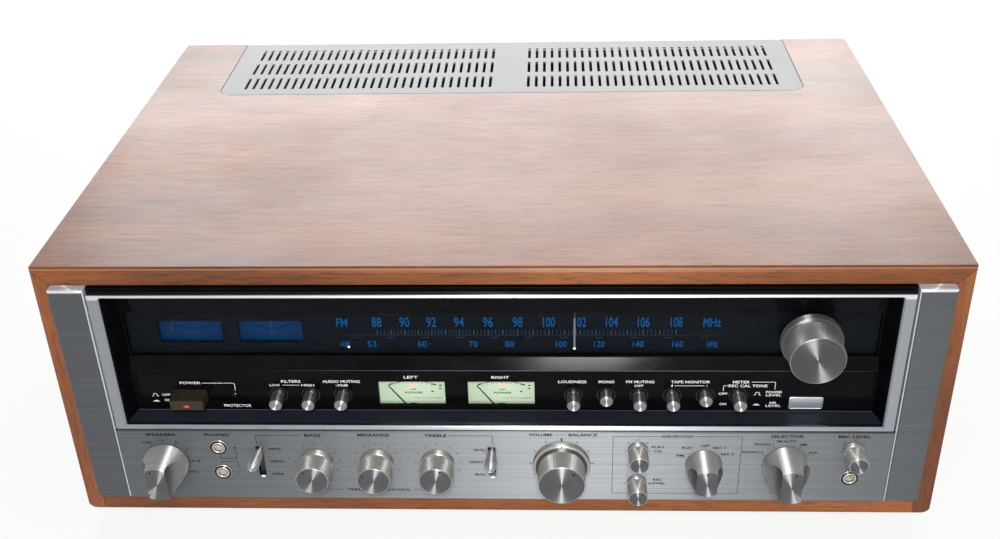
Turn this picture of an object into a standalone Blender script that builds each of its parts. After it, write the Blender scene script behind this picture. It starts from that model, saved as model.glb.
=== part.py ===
"""Stereo receiver in a wooden cabinet: every piece at its real size, in metres, +Z up.

The datum empty stands at the middle of the cabinet's bottom front edge. In its frame X runs to the right,
Y to the back and Z up, with Y zero on the front edges of the boards and Z zero under them. The datum
itself is set so that the whole receiver, feet, knobs and aerial included, stands centred on the origin.
"""
import math

import bmesh
import bpy
from mathutils import Matrix, Vector

for old in list(bpy.data.objects):
    bpy.data.objects.remove(old, do_unlink=True)


# Running and seating clearance, and how far a cut runs past the face that it opens.
GAP = 0.0003
OVERRUN = 0.001
MERGE = 0.000001
SMOOTH_ANGLE = math.radians(35)

# The cabinet: mitred boards round the chassis, open at the front, below and behind.
CABINET_WIDTH = 0.548
CABINET_HEIGHT = 0.186
CABINET_DEPTH = 0.354
WOOD_THICKNESS = 0.011
WOOD_ARRIS = 0.0028
ARRIS_SEGMENTS = 2
WOOD_FOOT_RADIUS = 0.0055
SILL_HEIGHT = 0.0145
SILL_DEPTH = 0.018

# The metal front stands proud of the boards.
PANEL_PROUD = 0.0065
PANEL_THICKNESS = 0.004
PANEL_CHAMFER = 0.0006
FACE_REVEAL = 0.0007
FACEPLATE_HEIGHT = 0.0555
END_PANEL_WIDTH = 0.0212
END_PANEL_THICKNESS = 0.0082
END_PANEL_CHAMFER = 0.0011

# The silver frame round the dial.
BEZEL_LOWER_REVEAL = 0.0008
BEZEL_UPPER_REVEAL = 0.0033
BEZEL_SIDE_REVEAL = 0.0018
BEZEL_SIDE_BAR = 0.0067
BEZEL_TOP_BAR = 0.0024
BEZEL_BOTTOM_BAR = 0.0035
BEZEL_CHAMFER = 0.0009

# The black moulding behind that frame: a trough with the control panel below and the dial above.
CONTROL_PANEL_RECESS = 0.0155
DIAL_SETBACK = 0.003
CONTROL_PANEL_HEIGHT = 0.0308
LEDGE_HEIGHT = 0.0084
DIAL_HEIGHT = 0.034
HOOD_FORWARD = 0.004
HOUSING_WALL = 0.0025
HOUSING_TOP_REVEAL = 0.0008
TROUGH_SPLAY = 0.0035
DIAL_RIM = 0.001
GLASS_THICKNESS = 0.002
POINTER_POCKET = 0.002
POINTER_HEADROOM = 0.008
SCALE_THICKNESS = 0.002
SCALE_LAP = 0.003

# Derived levels of the front, in the datum's frame.
FRONT_Y = -PANEL_PROUD
PANEL_BACK_Y = FRONT_Y + PANEL_THICKNESS
INNER_HALF = CABINET_WIDTH / 2 - WOOD_THICKNESS
OPENING_TOP = CABINET_HEIGHT - WOOD_THICKNESS
FACE_BOTTOM = SILL_HEIGHT + FACE_REVEAL
FACE_TOP = FACE_BOTTOM + FACEPLATE_HEIGHT
END_PANEL_OUTER = INNER_HALF - GAP
END_PANEL_INNER = END_PANEL_OUTER - END_PANEL_WIDTH
FACE_HALF = END_PANEL_INNER - GAP
BEZEL_HALF = END_PANEL_INNER - BEZEL_SIDE_REVEAL
BEZEL_BOTTOM = FACE_TOP + BEZEL_LOWER_REVEAL
BEZEL_TOP = OPENING_TOP - BEZEL_UPPER_REVEAL
TROUGH_HALF = BEZEL_HALF - BEZEL_SIDE_BAR
TROUGH_FLOOR = BEZEL_BOTTOM + BEZEL_BOTTOM_BAR
TROUGH_TOP = BEZEL_TOP - BEZEL_TOP_BAR
HOUSING_FRONT_Y = PANEL_BACK_Y + GAP
CONTROL_PANEL_Y = FRONT_Y + CONTROL_PANEL_RECESS
DIAL_Y = CONTROL_PANEL_Y + DIAL_SETBACK
LEDGE_BOTTOM = TROUGH_FLOOR + CONTROL_PANEL_HEIGHT
DIAL_BOTTOM = LEDGE_BOTTOM + LEDGE_HEIGHT
DIAL_TOP = DIAL_BOTTOM + DIAL_HEIGHT
CONTROL_BACK_Y = CONTROL_PANEL_Y + HOUSING_WALL
POCKET_Y = DIAL_Y + GLASS_THICKNESS + GAP
HOUSING_BACK_Y = POCKET_Y + POINTER_POCKET
SCALE_Y = HOUSING_BACK_Y + GAP
SCALE_BACK_Y = SCALE_Y + SCALE_THICKNESS
SCALE_TOP = DIAL_TOP + POINTER_HEADROOM / 2
DIAL_HALF = TROUGH_HALF - TROUGH_SPLAY - DIAL_RIM

# The bottom plate and the rear panel.
CHASSIS_SHEET = 0.0015
CHASSIS_LIFT = 0.003
REAR_RECESS = 0.016
CHASSIS_TOP = CHASSIS_LIFT + CHASSIS_SHEET
REAR_Y = CABINET_DEPTH - REAR_RECESS
REAR_FACE_Y = REAR_Y + CHASSIS_SHEET
REAR_BOTTOM = CHASSIS_TOP + GAP

# The aerial bar's size sets the receiver's reach at the back, the largest pointer knob its reach in front.
AERIAL_RADIUS = 0.0052
AERIAL_STANDOFF = 0.0035
AERIAL_Y = REAR_FACE_Y + AERIAL_STANDOFF + AERIAL_RADIUS * 2
POINTER_KNOB_LENGTH = 0.0225
FOOT_HEIGHT = 0.012
FRONT_REACH = PANEL_PROUD + POINTER_KNOB_LENGTH
REAR_REACH = max(AERIAL_Y + AERIAL_RADIUS, CABINET_DEPTH)

datum = bpy.data.objects.new("datum", None)
bpy.context.collection.objects.link(datum)
datum.location = (0, (FRONT_REACH - REAR_REACH) / 2, FOOT_HEIGHT)


def finish(name, colour, roughness, metallic):
    """A Principled material."""
    made = bpy.data.materials.new(name)
    made.use_nodes = True
    shader = made.node_tree.nodes["Principled BSDF"]
    shader.inputs["Base Color"].default_value = (*colour, 1)
    shader.inputs["Roughness"].default_value = roughness
    shader.inputs["Metallic"].default_value = metallic
    return made


def add_block(bm, low, high):
    """A box between two opposite corners."""
    low = Vector(low)
    high = Vector(high)
    place = Matrix.Translation((low + high) / 2) @ Matrix.Diagonal((*(high - low), 1))
    bmesh.ops.create_cube(bm, size=1, matrix=place)


def add_turned(bm, profile, steps, place=None, closed=False):
    """A turned shape on the Y axis, from (radius, along) points; closed profiles make rings."""
    before = set(bm.verts)
    points = [bm.verts.new((radius, along, 0)) for radius, along in profile]
    pairs = list(zip(points, points[1:]))
    if closed:
        pairs.append((points[-1], points[0]))
    edges = [bm.edges.new(pair) for pair in pairs]
    bmesh.ops.spin(
        bm, geom=points + edges, axis=(0, 1, 0), cent=(0, 0, 0),
        angle=math.tau, steps=steps, use_merge=True,
    )
    made = [vert for vert in bm.verts if vert not in before]
    bmesh.ops.remove_doubles(bm, verts=made, dist=MERGE)
    made = [vert for vert in bm.verts if vert not in before]
    if place is not None:
        bmesh.ops.transform(bm, matrix=place, verts=made)


def add_rod(bm, radius, start, end, steps, place=None):
    """A plain round bar along Y."""
    add_turned(bm, [(0, start), (radius, start), (radius, end), (0, end)], steps, place)


def add_between(bm, ring, other):
    """A closed solid between two like outlines."""
    first = [bm.verts.new(point) for point in ring]
    second = [bm.verts.new(point) for point in other]
    bm.faces.new(first)
    bm.faces.new(list(reversed(second)))
    for a, b in zip(range(len(ring)), [*range(1, len(ring)), 0]):
        bm.faces.new((first[b], first[a], second[a], second[b]))


def bevel_where(bm, test, width, segments=1):
    """Bevels the edges whose two ends both pass a test."""
    edges = [edge for edge in bm.edges if all(test(vert.co) for vert in edge.verts)]
    bmesh.ops.bevel(
        bm, geom=edges, offset=width, offset_type="OFFSET", affect="EDGES",
        segments=segments, profile=0.5, material=-1,
    )


def make(name, bm, material=None, place=(0, 0, 0)):
    """Links a finished mesh under the datum, smooth where it is round."""
    bmesh.ops.recalc_face_normals(bm, faces=bm.faces)
    mesh = bpy.data.meshes.new(name)
    bm.to_mesh(mesh)
    bm.free()
    mesh.shade_smooth()
    mesh.set_sharp_from_angle(angle=SMOOTH_ANGLE)
    if material is not None:
        mesh.materials.append(material)
    made = bpy.data.objects.new(name, mesh)
    bpy.context.collection.objects.link(made)
    made.parent = datum
    made.location = place
    return made


def helper(name, bm, place=(0, 0, 0)):
    """A shape that only cuts or joins another, and isn't a piece itself."""
    made = make(name, bm, place=place)
    made.hide_render = True
    made.display_type = "WIRE"
    return made


def combine(target, other, operation):
    """A Boolean of the target with a helper."""
    step = target.modifiers.new(other.name, "BOOLEAN")
    step.operation = operation
    step.object = other
    step.solver = "EXACT"


def lathe(name, profile, steps, material, place, closed=False):
    """One turned piece as an object of its own, on its axis."""
    bm = bmesh.new()
    add_turned(bm, profile, steps, closed=closed)
    return make(name, bm, material, place)


walnut = finish("walnut", (0.30, 0.115, 0.045), 0.45, 0)
satin_aluminium = finish("satin_aluminium", (0.62, 0.66, 0.69), 0.36, 1)
turned_aluminium = finish("turned_aluminium", (0.72, 0.72, 0.71), 0.24, 1)
knob_aluminium = finish("knob_aluminium", (0.66, 0.64, 0.62), 0.28, 1)
grille_steel = finish("grille_steel", (0.60, 0.59, 0.57), 0.42, 1)
black_moulding = finish("black_moulding", (0.012, 0.013, 0.016), 0.32, 0)
black_steel = finish("black_steel", (0.025, 0.025, 0.027), 0.5, 0.6)
zinc_steel = finish("zinc_steel", (0.42, 0.42, 0.40), 0.4, 1)
rubber = finish("rubber", (0.02, 0.02, 0.02), 0.8, 0)
dial_clear = finish("dial_clear", (0.05, 0.06, 0.08), 0.05, 0)
dial_print = finish("dial_print", (0.008, 0.009, 0.012), 0.25, 0)
pointer_paint = finish("pointer_paint", (0.85, 0.87, 0.9), 0.4, 0)
amber_plastic = finish("amber_plastic", (0.10, 0.065, 0.025), 0.18, 0)
blue_meter = finish("blue_meter", (0.02, 0.11, 0.42), 0.5, 0)
green_meter = finish("green_meter", (0.62, 0.76, 0.50), 0.5, 0)
needle_black = finish("needle_black", (0.01, 0.01, 0.012), 0.4, 0)
socket_nickel = finish("socket_nickel", (0.62, 0.58, 0.50), 0.25, 1)
transformer_paint = finish("transformer_paint", (0.05, 0.05, 0.055), 0.45, 0.3)
sink_aluminium = finish("sink_aluminium", (0.12, 0.12, 0.125), 0.5, 0.8)
board_resin = finish("board_resin", (0.20, 0.13, 0.05), 0.55, 0)
flywheel_brass = finish("flywheel_brass", (0.55, 0.42, 0.20), 0.35, 1)
aerial_plastic = finish("aerial_plastic", (0.02, 0.02, 0.022), 0.4, 0)
terminal_plastic = finish("terminal_plastic", (0.03, 0.03, 0.032), 0.4, 0)


# Vent grille opening, shared by the top board and the grille.
GRILLE_SIDE_MARGIN = 0.0513
GRILLE_LENGTH = 0.1035
GRILLE_CORNER = 0.010
GRILLE_SHEET = 0.0015
GRILLE_REAR_MARGIN = 0.001
GRILLE_HALF = CABINET_WIDTH / 2 - GRILLE_SIDE_MARGIN
GRILLE_FRONT_Y = CABINET_DEPTH - GRILLE_REAR_MARGIN - GRILLE_LENGTH
CORNER_STEPS = 4


def arc(centre_x, centre_y, radius, start, end, steps):
    """Points along an arc, with the angles in degrees."""
    angles = [math.radians(start + (end - start) * step / steps) for step in range(steps + 1)]
    return [(centre_x + radius * math.cos(a), centre_y + radius * math.sin(a)) for a in angles]


def wooden_top():
    """The top board: mitred at both ends, notched at the back for the grille, its front arris eased."""
    half = CABINET_WIDTH / 2
    notch = GRILLE_HALF + GAP
    corner = GRILLE_CORNER + GAP
    notch_y = GRILLE_FRONT_Y - GAP
    notch_left = arc(corner - notch, notch_y + corner, corner, 180, 270, CORNER_STEPS)
    notch_right = arc(notch - corner, notch_y + corner, corner, 270, 360, CORNER_STEPS)
    outline = [(-half, CABINET_DEPTH), (-half, 0), (half, 0), (half, CABINET_DEPTH)]
    outline += [(notch, CABINET_DEPTH)] + notch_right[::-1] + notch_left[::-1] + [(-notch, CABINET_DEPTH)]
    upper = [(x, y, CABINET_HEIGHT) for x, y in outline]
    lower = []
    for x, y in outline:
        inset = math.copysign(WOOD_THICKNESS, x) if abs(x) == half else 0
        lower.append((x - inset, y, OPENING_TOP))
    bm = bmesh.new()
    add_between(bm, upper, lower)
    bevel_where(bm, lambda p: abs(p.y) < MERGE and p.z > CABINET_HEIGHT - MERGE, WOOD_ARRIS, ARRIS_SEGMENTS)
    make("wood_top", bm, walnut)


def wooden_side(name, side):
    """A side board, mitred to the top, with its lower outside corner rounded and its front arris eased."""
    half = CABINET_WIDTH / 2
    drop = GAP * math.sqrt(2)
    corner = arc(half - WOOD_FOOT_RADIUS, WOOD_FOOT_RADIUS, WOOD_FOOT_RADIUS, 0, -90, CORNER_STEPS)
    outline = [(INNER_HALF, 0), (INNER_HALF, OPENING_TOP - drop), (half, CABINET_HEIGHT - drop)] + corner
    front = [(side * x, 0, z) for x, z in outline]
    back = [(side * x, CABINET_DEPTH, z) for x, z in outline]
    bm = bmesh.new()
    add_between(bm, front, back)

    def on_front_arris(p):
        return abs(p.y) < MERGE and abs(p.x) > half - MERGE

    bevel_where(bm, on_front_arris, WOOD_ARRIS, ARRIS_SEGMENTS)
    make(name, bm, walnut)


wooden_top()
wooden_side("wood_side_left", -1)
wooden_side("wood_side_right", 1)


def wooden_sill():
    """The rail under the faceplate, between the side boards."""
    half = INNER_HALF - GAP
    bm = bmesh.new()
    add_block(bm, (-half, 0, 0), (half, SILL_DEPTH, SILL_HEIGHT))
    make("wood_front_sill", bm, walnut)


wooden_sill()


# The grille's slots: three rows of two like groups.
SLOT_ROWS = 3
SLOTS_IN_GROUP = 32
SLOT_SIDE_MARGIN = 0.0186
SLOT_WIDTH = 0.0022
SLOT_LENGTH = 0.021
SLOT_ROW_PITCH = 0.029
SLOT_GROUP_INNER = 0.0147
SLOT_FIRST_ROW = 0.0215
SLOT_PITCH = (GRILLE_HALF - SLOT_SIDE_MARGIN - SLOT_GROUP_INNER) / (SLOTS_IN_GROUP - 1)


def vent_grille():
    """A flat steel plate, flush with the top board, pierced by rows of slots."""
    xs = [-GRILLE_HALF, GRILLE_HALF]
    for side in (-1, 1):
        for slot in range(SLOTS_IN_GROUP):
            centre = side * (SLOT_GROUP_INNER + slot * SLOT_PITCH)
            xs += [centre - SLOT_WIDTH / 2, centre + SLOT_WIDTH / 2]
    xs.sort()
    ys = [GRILLE_FRONT_Y, GRILLE_FRONT_Y + GRILLE_LENGTH]
    for row in range(SLOT_ROWS):
        centre = GRILLE_FRONT_Y + SLOT_FIRST_ROW + row * SLOT_ROW_PITCH
        ys += [centre - SLOT_LENGTH / 2, centre + SLOT_LENGTH / 2]
    ys.sort()
    bm = bmesh.new()
    grid = [[bm.verts.new((x, y, CABINET_HEIGHT)) for x in xs] for y in ys[1:-1]]
    for row, (front, back) in enumerate(zip(grid, grid[1:])):
        for column in range(len(xs) - 1):
            in_slot = row % 2 == 0 and column % 2
            if not in_slot:
                bm.faces.new((front[column], front[column + 1], back[column + 1], back[column]))
    corner_y = GRILLE_FRONT_Y + GRILLE_CORNER
    corner_x = GRILLE_HALF - GRILLE_CORNER
    front = arc(-corner_x, corner_y, GRILLE_CORNER, 180, 270, CORNER_STEPS)
    front += arc(corner_x, corner_y, GRILLE_CORNER, 270, 360, CORNER_STEPS)
    back = [(GRILLE_HALF, ys[-1]), (-GRILLE_HALF, ys[-1])]
    for outline, edge in ((front, grid[0][::-1]), (back, grid[-1])):
        bm.faces.new([bm.verts.new((x, y, CABINET_HEIGHT)) for x, y in outline] + edge)
    down = bmesh.ops.extrude_face_region(bm, geom=list(bm.faces))
    lowered = [item for item in down["geom"] if isinstance(item, bmesh.types.BMVert)]
    bmesh.ops.translate(bm, verts=lowered, vec=(0, 0, -GRILLE_SHEET))
    make("vent_grille", bm, grille_steel)


vent_grille()


# Feet under the bottom plate.
FOOT_RADIUS = 0.021
FOOT_TAPER = 0.0025
FOOT_INSET_X = 0.050
FOOT_INSET_Y = 0.046
FOOT_STEPS = 24


def bottom_plate():
    """The steel plate that closes the cabinet below and carries what stands inside."""
    half = INNER_HALF - GAP
    bm = bmesh.new()
    add_block(bm, (-half, SILL_DEPTH + GAP, CHASSIS_LIFT), (half, REAR_FACE_Y, CHASSIS_TOP))
    make("chassis_plate", bm, zinc_steel)


def foot(name, x, y):
    """A rubber-shod foot, screwed up against the bottom plate."""
    top = CHASSIS_LIFT - GAP
    profile = [(0, -FOOT_HEIGHT), (FOOT_RADIUS - FOOT_TAPER, -FOOT_HEIGHT),
               (FOOT_RADIUS, 0), (FOOT_RADIUS, top), (0, top)]
    bm = bmesh.new()
    add_turned(bm, profile, FOOT_STEPS, Matrix.Rotation(math.radians(90), 4, "X"))
    make(name, bm, rubber, (x, y, 0))


bottom_plate()
foot_x = CABINET_WIDTH / 2 - FOOT_INSET_X
for row_name, foot_y in (("front", FOOT_INSET_Y), ("rear", CABINET_DEPTH - FOOT_INSET_Y)):
    foot(f"foot_{row_name}_left", -foot_x, foot_y)
    foot(f"foot_{row_name}_right", foot_x, foot_y)


def end_panel(name, side):
    """A cheek of brushed aluminium between the dial or faceplate and the wooden side."""
    near = side * END_PANEL_INNER
    far = side * END_PANEL_OUTER
    bm = bmesh.new()
    add_block(bm, (min(near, far), FRONT_Y, FACE_BOTTOM),
              (max(near, far), FRONT_Y + END_PANEL_THICKNESS, OPENING_TOP - GAP))
    bevel_where(bm, lambda p: p.y < FRONT_Y + MERGE, END_PANEL_CHAMFER)
    make(name, bm, satin_aluminium)


end_panel("end_panel_left", -1)
end_panel("end_panel_right", 1)


# Where the controls of the faceplate stand, as shares of its half width and of its height.
CONTROL_ROW_SHARE = 0.555
SPEAKER_SHARE = -0.881
PHONES_SHARE = -0.736
PHONES_ROW_SHARES = (0.768, 0.405)
BASS_LEVER_SHARE = -0.630
TREBLE_LEVER_SHARE = -0.0224
LEVER_ROW_SHARE = 0.567
TONE_SHARES = {"bass": -0.483, "midrange": -0.3242, "treble": -0.165}
VOLUME_SHARE = 0.1575
LEVEL_SHARE = 0.354
LEVEL_ROW_SHARES = {"play": 0.76, "record": 0.28}
FILTER_SHARE = 0.5245
SELECTOR_SHARE = 0.7338
MIC_SHARE = 0.902
MIC_ROW_SHARES = {"level": 0.764, "jack": 0.359}

# Shafts and sockets that pass through the faceplate.
SHAFT_RADIUS = 0.003
SLEEVE_RADIUS = 0.005
SOCKET_NUT_RADIUS = 0.0056
SOCKET_BARREL_RADIUS = 0.0047
SOCKET_BORE_RADIUS = 0.0033
SHAFT_TAIL = 0.0035
HOLE_STEPS = 16
LEVER_RADIUS = 0.002
LEVER_SLOT_LENGTH = 0.0235


def face_x(share):
    return share * FACE_HALF


def face_z(share):
    return FACE_BOTTOM + share * FACEPLATE_HEIGHT


def faceplate():
    """The lower front of brushed aluminium, drilled for the shafts and sockets and slotted for the levers."""
    bm = bmesh.new()
    add_block(bm, (-FACE_HALF, FRONT_Y, FACE_BOTTOM), (FACE_HALF, PANEL_BACK_Y, FACE_TOP))

    def long_front_edge(p):
        return p.y < FRONT_Y + MERGE

    bevel_where(bm, long_front_edge, PANEL_CHAMFER)
    plate = make("faceplate", bm, satin_aluminium)

    shaft_hole = SHAFT_RADIUS + GAP
    socket_hole = SOCKET_BARREL_RADIUS + GAP
    row = face_z(CONTROL_ROW_SHARE)
    on_the_row = (*TONE_SHARES.values(), SPEAKER_SHARE, FILTER_SHARE, SELECTOR_SHARE)
    holes = [(face_x(share), row, shaft_hole) for share in on_the_row]
    holes += [(face_x(VOLUME_SHARE), row, SLEEVE_RADIUS + GAP)]
    holes += [(face_x(LEVEL_SHARE), face_z(share), shaft_hole) for share in LEVEL_ROW_SHARES.values()]
    holes += [(face_x(PHONES_SHARE), face_z(share), socket_hole) for share in PHONES_ROW_SHARES]
    holes += [(face_x(MIC_SHARE), face_z(MIC_ROW_SHARES["level"]), shaft_hole)]
    holes += [(face_x(MIC_SHARE), face_z(MIC_ROW_SHARES["jack"]), socket_hole)]
    cuts = bmesh.new()
    for x, z, radius in holes:
        place = Matrix.Translation((x, 0, z))
        add_rod(cuts, radius, FRONT_Y - OVERRUN, PANEL_BACK_Y + OVERRUN, HOLE_STEPS, place)
    for share in (BASS_LEVER_SHARE, TREBLE_LEVER_SHARE):
        half_slot = LEVER_RADIUS + GAP
        x = face_x(share)
        z = face_z(LEVER_ROW_SHARE)
        add_block(cuts, (x - half_slot, FRONT_Y - OVERRUN, z - LEVER_SLOT_LENGTH / 2),
                  (x + half_slot, PANEL_BACK_Y + OVERRUN, z + LEVER_SLOT_LENGTH / 2))
    combine(plate, helper("faceplate_holes", cuts), "DIFFERENCE")


faceplate()


def dial_bezel():
    """The thin silver frame round the dial, its inner edge chamfered."""
    outer = [(-BEZEL_HALF, BEZEL_BOTTOM), (BEZEL_HALF, BEZEL_BOTTOM),
             (BEZEL_HALF, BEZEL_TOP), (-BEZEL_HALF, BEZEL_TOP)]
    inner = [(-TROUGH_HALF, TROUGH_FLOOR), (TROUGH_HALF, TROUGH_FLOOR),
             (TROUGH_HALF, TROUGH_TOP), (-TROUGH_HALF, TROUGH_TOP)]
    bm = bmesh.new()
    rings = [[bm.verts.new((x, FRONT_Y, z)) for x, z in ring] for ring in (outer, inner)]
    for a, b in zip(range(4), (1, 2, 3, 0)):
        bm.faces.new((rings[0][a], rings[0][b], rings[1][b], rings[1][a]))
    back = bmesh.ops.extrude_face_region(bm, geom=list(bm.faces))
    moved = [item for item in back["geom"] if isinstance(item, bmesh.types.BMVert)]
    bmesh.ops.translate(bm, verts=moved, vec=(0, PANEL_THICKNESS, 0))

    def inner_front_edge(p):
        return p.y < FRONT_Y + MERGE and abs(p.x) < TROUGH_HALF + MERGE

    bevel_where(bm, inner_front_edge, BEZEL_CHAMFER)
    make("dial_bezel", bm, satin_aluminium)


dial_bezel()


# Pieces of the control panel, as shares of the trough's half width and of the panel's height.
BUTTON_ROW_SHARE = 0.396
FILTER_BUTTONS_SHARE = -0.509
MODE_BUTTONS_SHARE = 0.413
POWER_SHARE = -0.835
METER_ROW_SHARE = 0.425
POWER_METER_SHARES = {"left": -0.2356, "right": 0.0034}
BUTTON_PITCH = 0.0203
BUTTON_RADIUS = 0.0042
POWER_BUTTON_WIDTH = 0.021
POWER_BUTTON_HEIGHT = 0.0074
POWER_WINDOW_SHARE = 0.1777
POWER_WINDOW_HEIGHT = 0.0188
POWER_WINDOW_WIDTH = POWER_WINDOW_SHARE * TROUGH_HALF

# Windows and the tuning shaft of the dial, as shares of the trough's half width and of the dial's height.
DIAL_ROW_SHARE = 0.465
BLUE_METER_SHARES = {"signal": -0.8172, "tuning": -0.6034}
TUNING_SHARE = 0.803
BLUE_WINDOW_SHARE = 0.17
BLUE_WINDOW_HEIGHT = 0.0160
BLUE_WINDOW_WIDTH = BLUE_WINDOW_SHARE * TROUGH_HALF

BUTTON_ROW_Z = TROUGH_FLOOR + BUTTON_ROW_SHARE * CONTROL_PANEL_HEIGHT
METER_ROW_Z = TROUGH_FLOOR + METER_ROW_SHARE * CONTROL_PANEL_HEIGHT
DIAL_ROW_Z = DIAL_BOTTOM + DIAL_ROW_SHARE * DIAL_HEIGHT
TUNING_X = TUNING_SHARE * TROUGH_HALF
FILTER_BUTTONS = ("low_filter", "high_filter", "audio_muting")
MODE_BUTTONS = ("loudness", "mono", "fm_muting", "tape_monitor_1", "tape_monitor_2", "meter_tone")


def button_xs(names, share):
    """The X of each button in a group that is centred on a share of the trough."""
    first = share * TROUGH_HALF - BUTTON_PITCH * (len(names) - 1) / 2
    return {name: first + BUTTON_PITCH * number for number, name in enumerate(names)}


BUTTON_XS = button_xs(FILTER_BUTTONS, FILTER_BUTTONS_SHARE) | button_xs(MODE_BUTTONS, MODE_BUTTONS_SHARE)


def dial_housing():
    """The black moulding: a splayed trough with the control panel, a ledge, the dial opening and a hood."""
    half = FACE_HALF
    top = OPENING_TOP - HOUSING_TOP_REVEAL
    bottom = FACE_TOP + GAP
    step_z = LEDGE_BOTTOM + HOUSING_WALL
    side_view = [(HOUSING_FRONT_Y, bottom), (CONTROL_BACK_Y, bottom), (CONTROL_BACK_Y, step_z),
                 (HOUSING_BACK_Y, step_z), (HOUSING_BACK_Y, top), (HOUSING_FRONT_Y, top)]
    bm = bmesh.new()
    add_between(bm, [(-half, y, z) for y, z in side_view], [(half, y, z) for y, z in side_view])
    housing = make("dial_housing", bm, black_moulding)

    depth = DIAL_Y - HOUSING_FRONT_Y
    mouth_y = HOUSING_FRONT_Y - OVERRUN
    trough = [(mouth_y, TROUGH_FLOOR), (CONTROL_PANEL_Y, TROUGH_FLOOR), (CONTROL_PANEL_Y, LEDGE_BOTTOM),
              (DIAL_Y, DIAL_BOTTOM), (DIAL_Y, DIAL_TOP),
              (DIAL_Y - HOOD_FORWARD, TROUGH_TOP), (mouth_y, TROUGH_TOP)]

    def wall_x(y):
        return TROUGH_HALF - TROUGH_SPLAY * (y - HOUSING_FRONT_Y) / depth

    cut = bmesh.new()
    add_between(cut, [(-wall_x(y), y, z) for y, z in trough], [(wall_x(y), y, z) for y, z in trough])
    combine(housing, helper("trough_cut", cut), "DIFFERENCE")

    openings = bmesh.new()
    add_block(openings, (-DIAL_HALF, DIAL_Y - OVERRUN, DIAL_BOTTOM + DIAL_RIM),
              (DIAL_HALF, POCKET_Y + POINTER_POCKET / 2, DIAL_TOP - DIAL_RIM))
    cut_front = CONTROL_PANEL_Y - OVERRUN
    cut_back = CONTROL_BACK_Y + OVERRUN
    for share in POWER_METER_SHARES.values():
        x = share * TROUGH_HALF
        add_block(openings, (x - POWER_WINDOW_WIDTH / 2, cut_front, METER_ROW_Z - POWER_WINDOW_HEIGHT / 2),
                  (x + POWER_WINDOW_WIDTH / 2, cut_back, METER_ROW_Z + POWER_WINDOW_HEIGHT / 2))
    for x in BUTTON_XS.values():
        place = Matrix.Translation((x, 0, BUTTON_ROW_Z))
        add_rod(openings, BUTTON_RADIUS + GAP, cut_front, cut_back, HOLE_STEPS, place)
    power_x = POWER_SHARE * TROUGH_HALF
    power_half = POWER_BUTTON_WIDTH / 2 + GAP
    power_rise = POWER_BUTTON_HEIGHT / 2 + GAP
    add_block(openings, (power_x - power_half, cut_front, BUTTON_ROW_Z - power_rise),
              (power_x + power_half, cut_back, BUTTON_ROW_Z + power_rise))
    combine(housing, helper("housing_openings", openings), "DIFFERENCE")

    pocket = bmesh.new()
    add_block(pocket, (-DIAL_HALF - DIAL_RIM, POCKET_Y, DIAL_BOTTOM),
              (DIAL_HALF + DIAL_RIM, HOUSING_BACK_Y + OVERRUN, DIAL_TOP + POINTER_HEADROOM))
    combine(housing, helper("pointer_pocket", pocket), "DIFFERENCE")


dial_housing()


def dial_window(name, half, y, back_y, low_z, high_z, material):
    """A sheet of the dial with a round hole for the tuning shaft."""
    bm = bmesh.new()
    add_block(bm, (-half, y, low_z), (half, back_y, high_z))
    sheet = make(name, bm, material)
    hole = bmesh.new()
    place = Matrix.Translation((TUNING_X, 0, DIAL_ROW_Z))
    add_rod(hole, SHAFT_RADIUS + GAP, y - OVERRUN, back_y + OVERRUN, HOLE_STEPS, place)
    combine(sheet, helper(name + "_hole", hole), "DIFFERENCE")
    return sheet


def dial_sheets():
    """The dial glass in its opening, and the printed scale behind it with two meter windows."""
    dial_window("dial_glass", DIAL_HALF - GAP, DIAL_Y, DIAL_Y + GLASS_THICKNESS,
                DIAL_BOTTOM + DIAL_RIM + GAP, DIAL_TOP - DIAL_RIM - GAP, dial_clear)
    scale_plate = dial_window("dial_scale", DIAL_HALF + DIAL_RIM + SCALE_LAP, SCALE_Y, SCALE_BACK_Y,
                              DIAL_BOTTOM - SCALE_LAP, SCALE_TOP, dial_print)
    windows = bmesh.new()
    for share in BLUE_METER_SHARES.values():
        x = share * TROUGH_HALF
        half = BLUE_WINDOW_WIDTH / 2
        add_block(windows, (x - half, SCALE_Y - OVERRUN, DIAL_ROW_Z - BLUE_WINDOW_HEIGHT / 2),
                  (x + half, SCALE_BACK_Y + OVERRUN, DIAL_ROW_Z + BLUE_WINDOW_HEIGHT / 2))
    combine(scale_plate, helper("meter_windows", windows), "DIFFERENCE")


dial_sheets()


# The dial pointer: a thin upright that hangs from the top edge of the scale plate.
POINTER_SHARE = 0.198
POINTER_FOOT_SHARE = 0.105
POINTER_WIDTH = 0.0011
POINTER_THICKNESS = 0.0009
POINTER_HOOK_HEIGHT = 0.0024
POINTER_HOOK_WIDTH = 0.007


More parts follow.
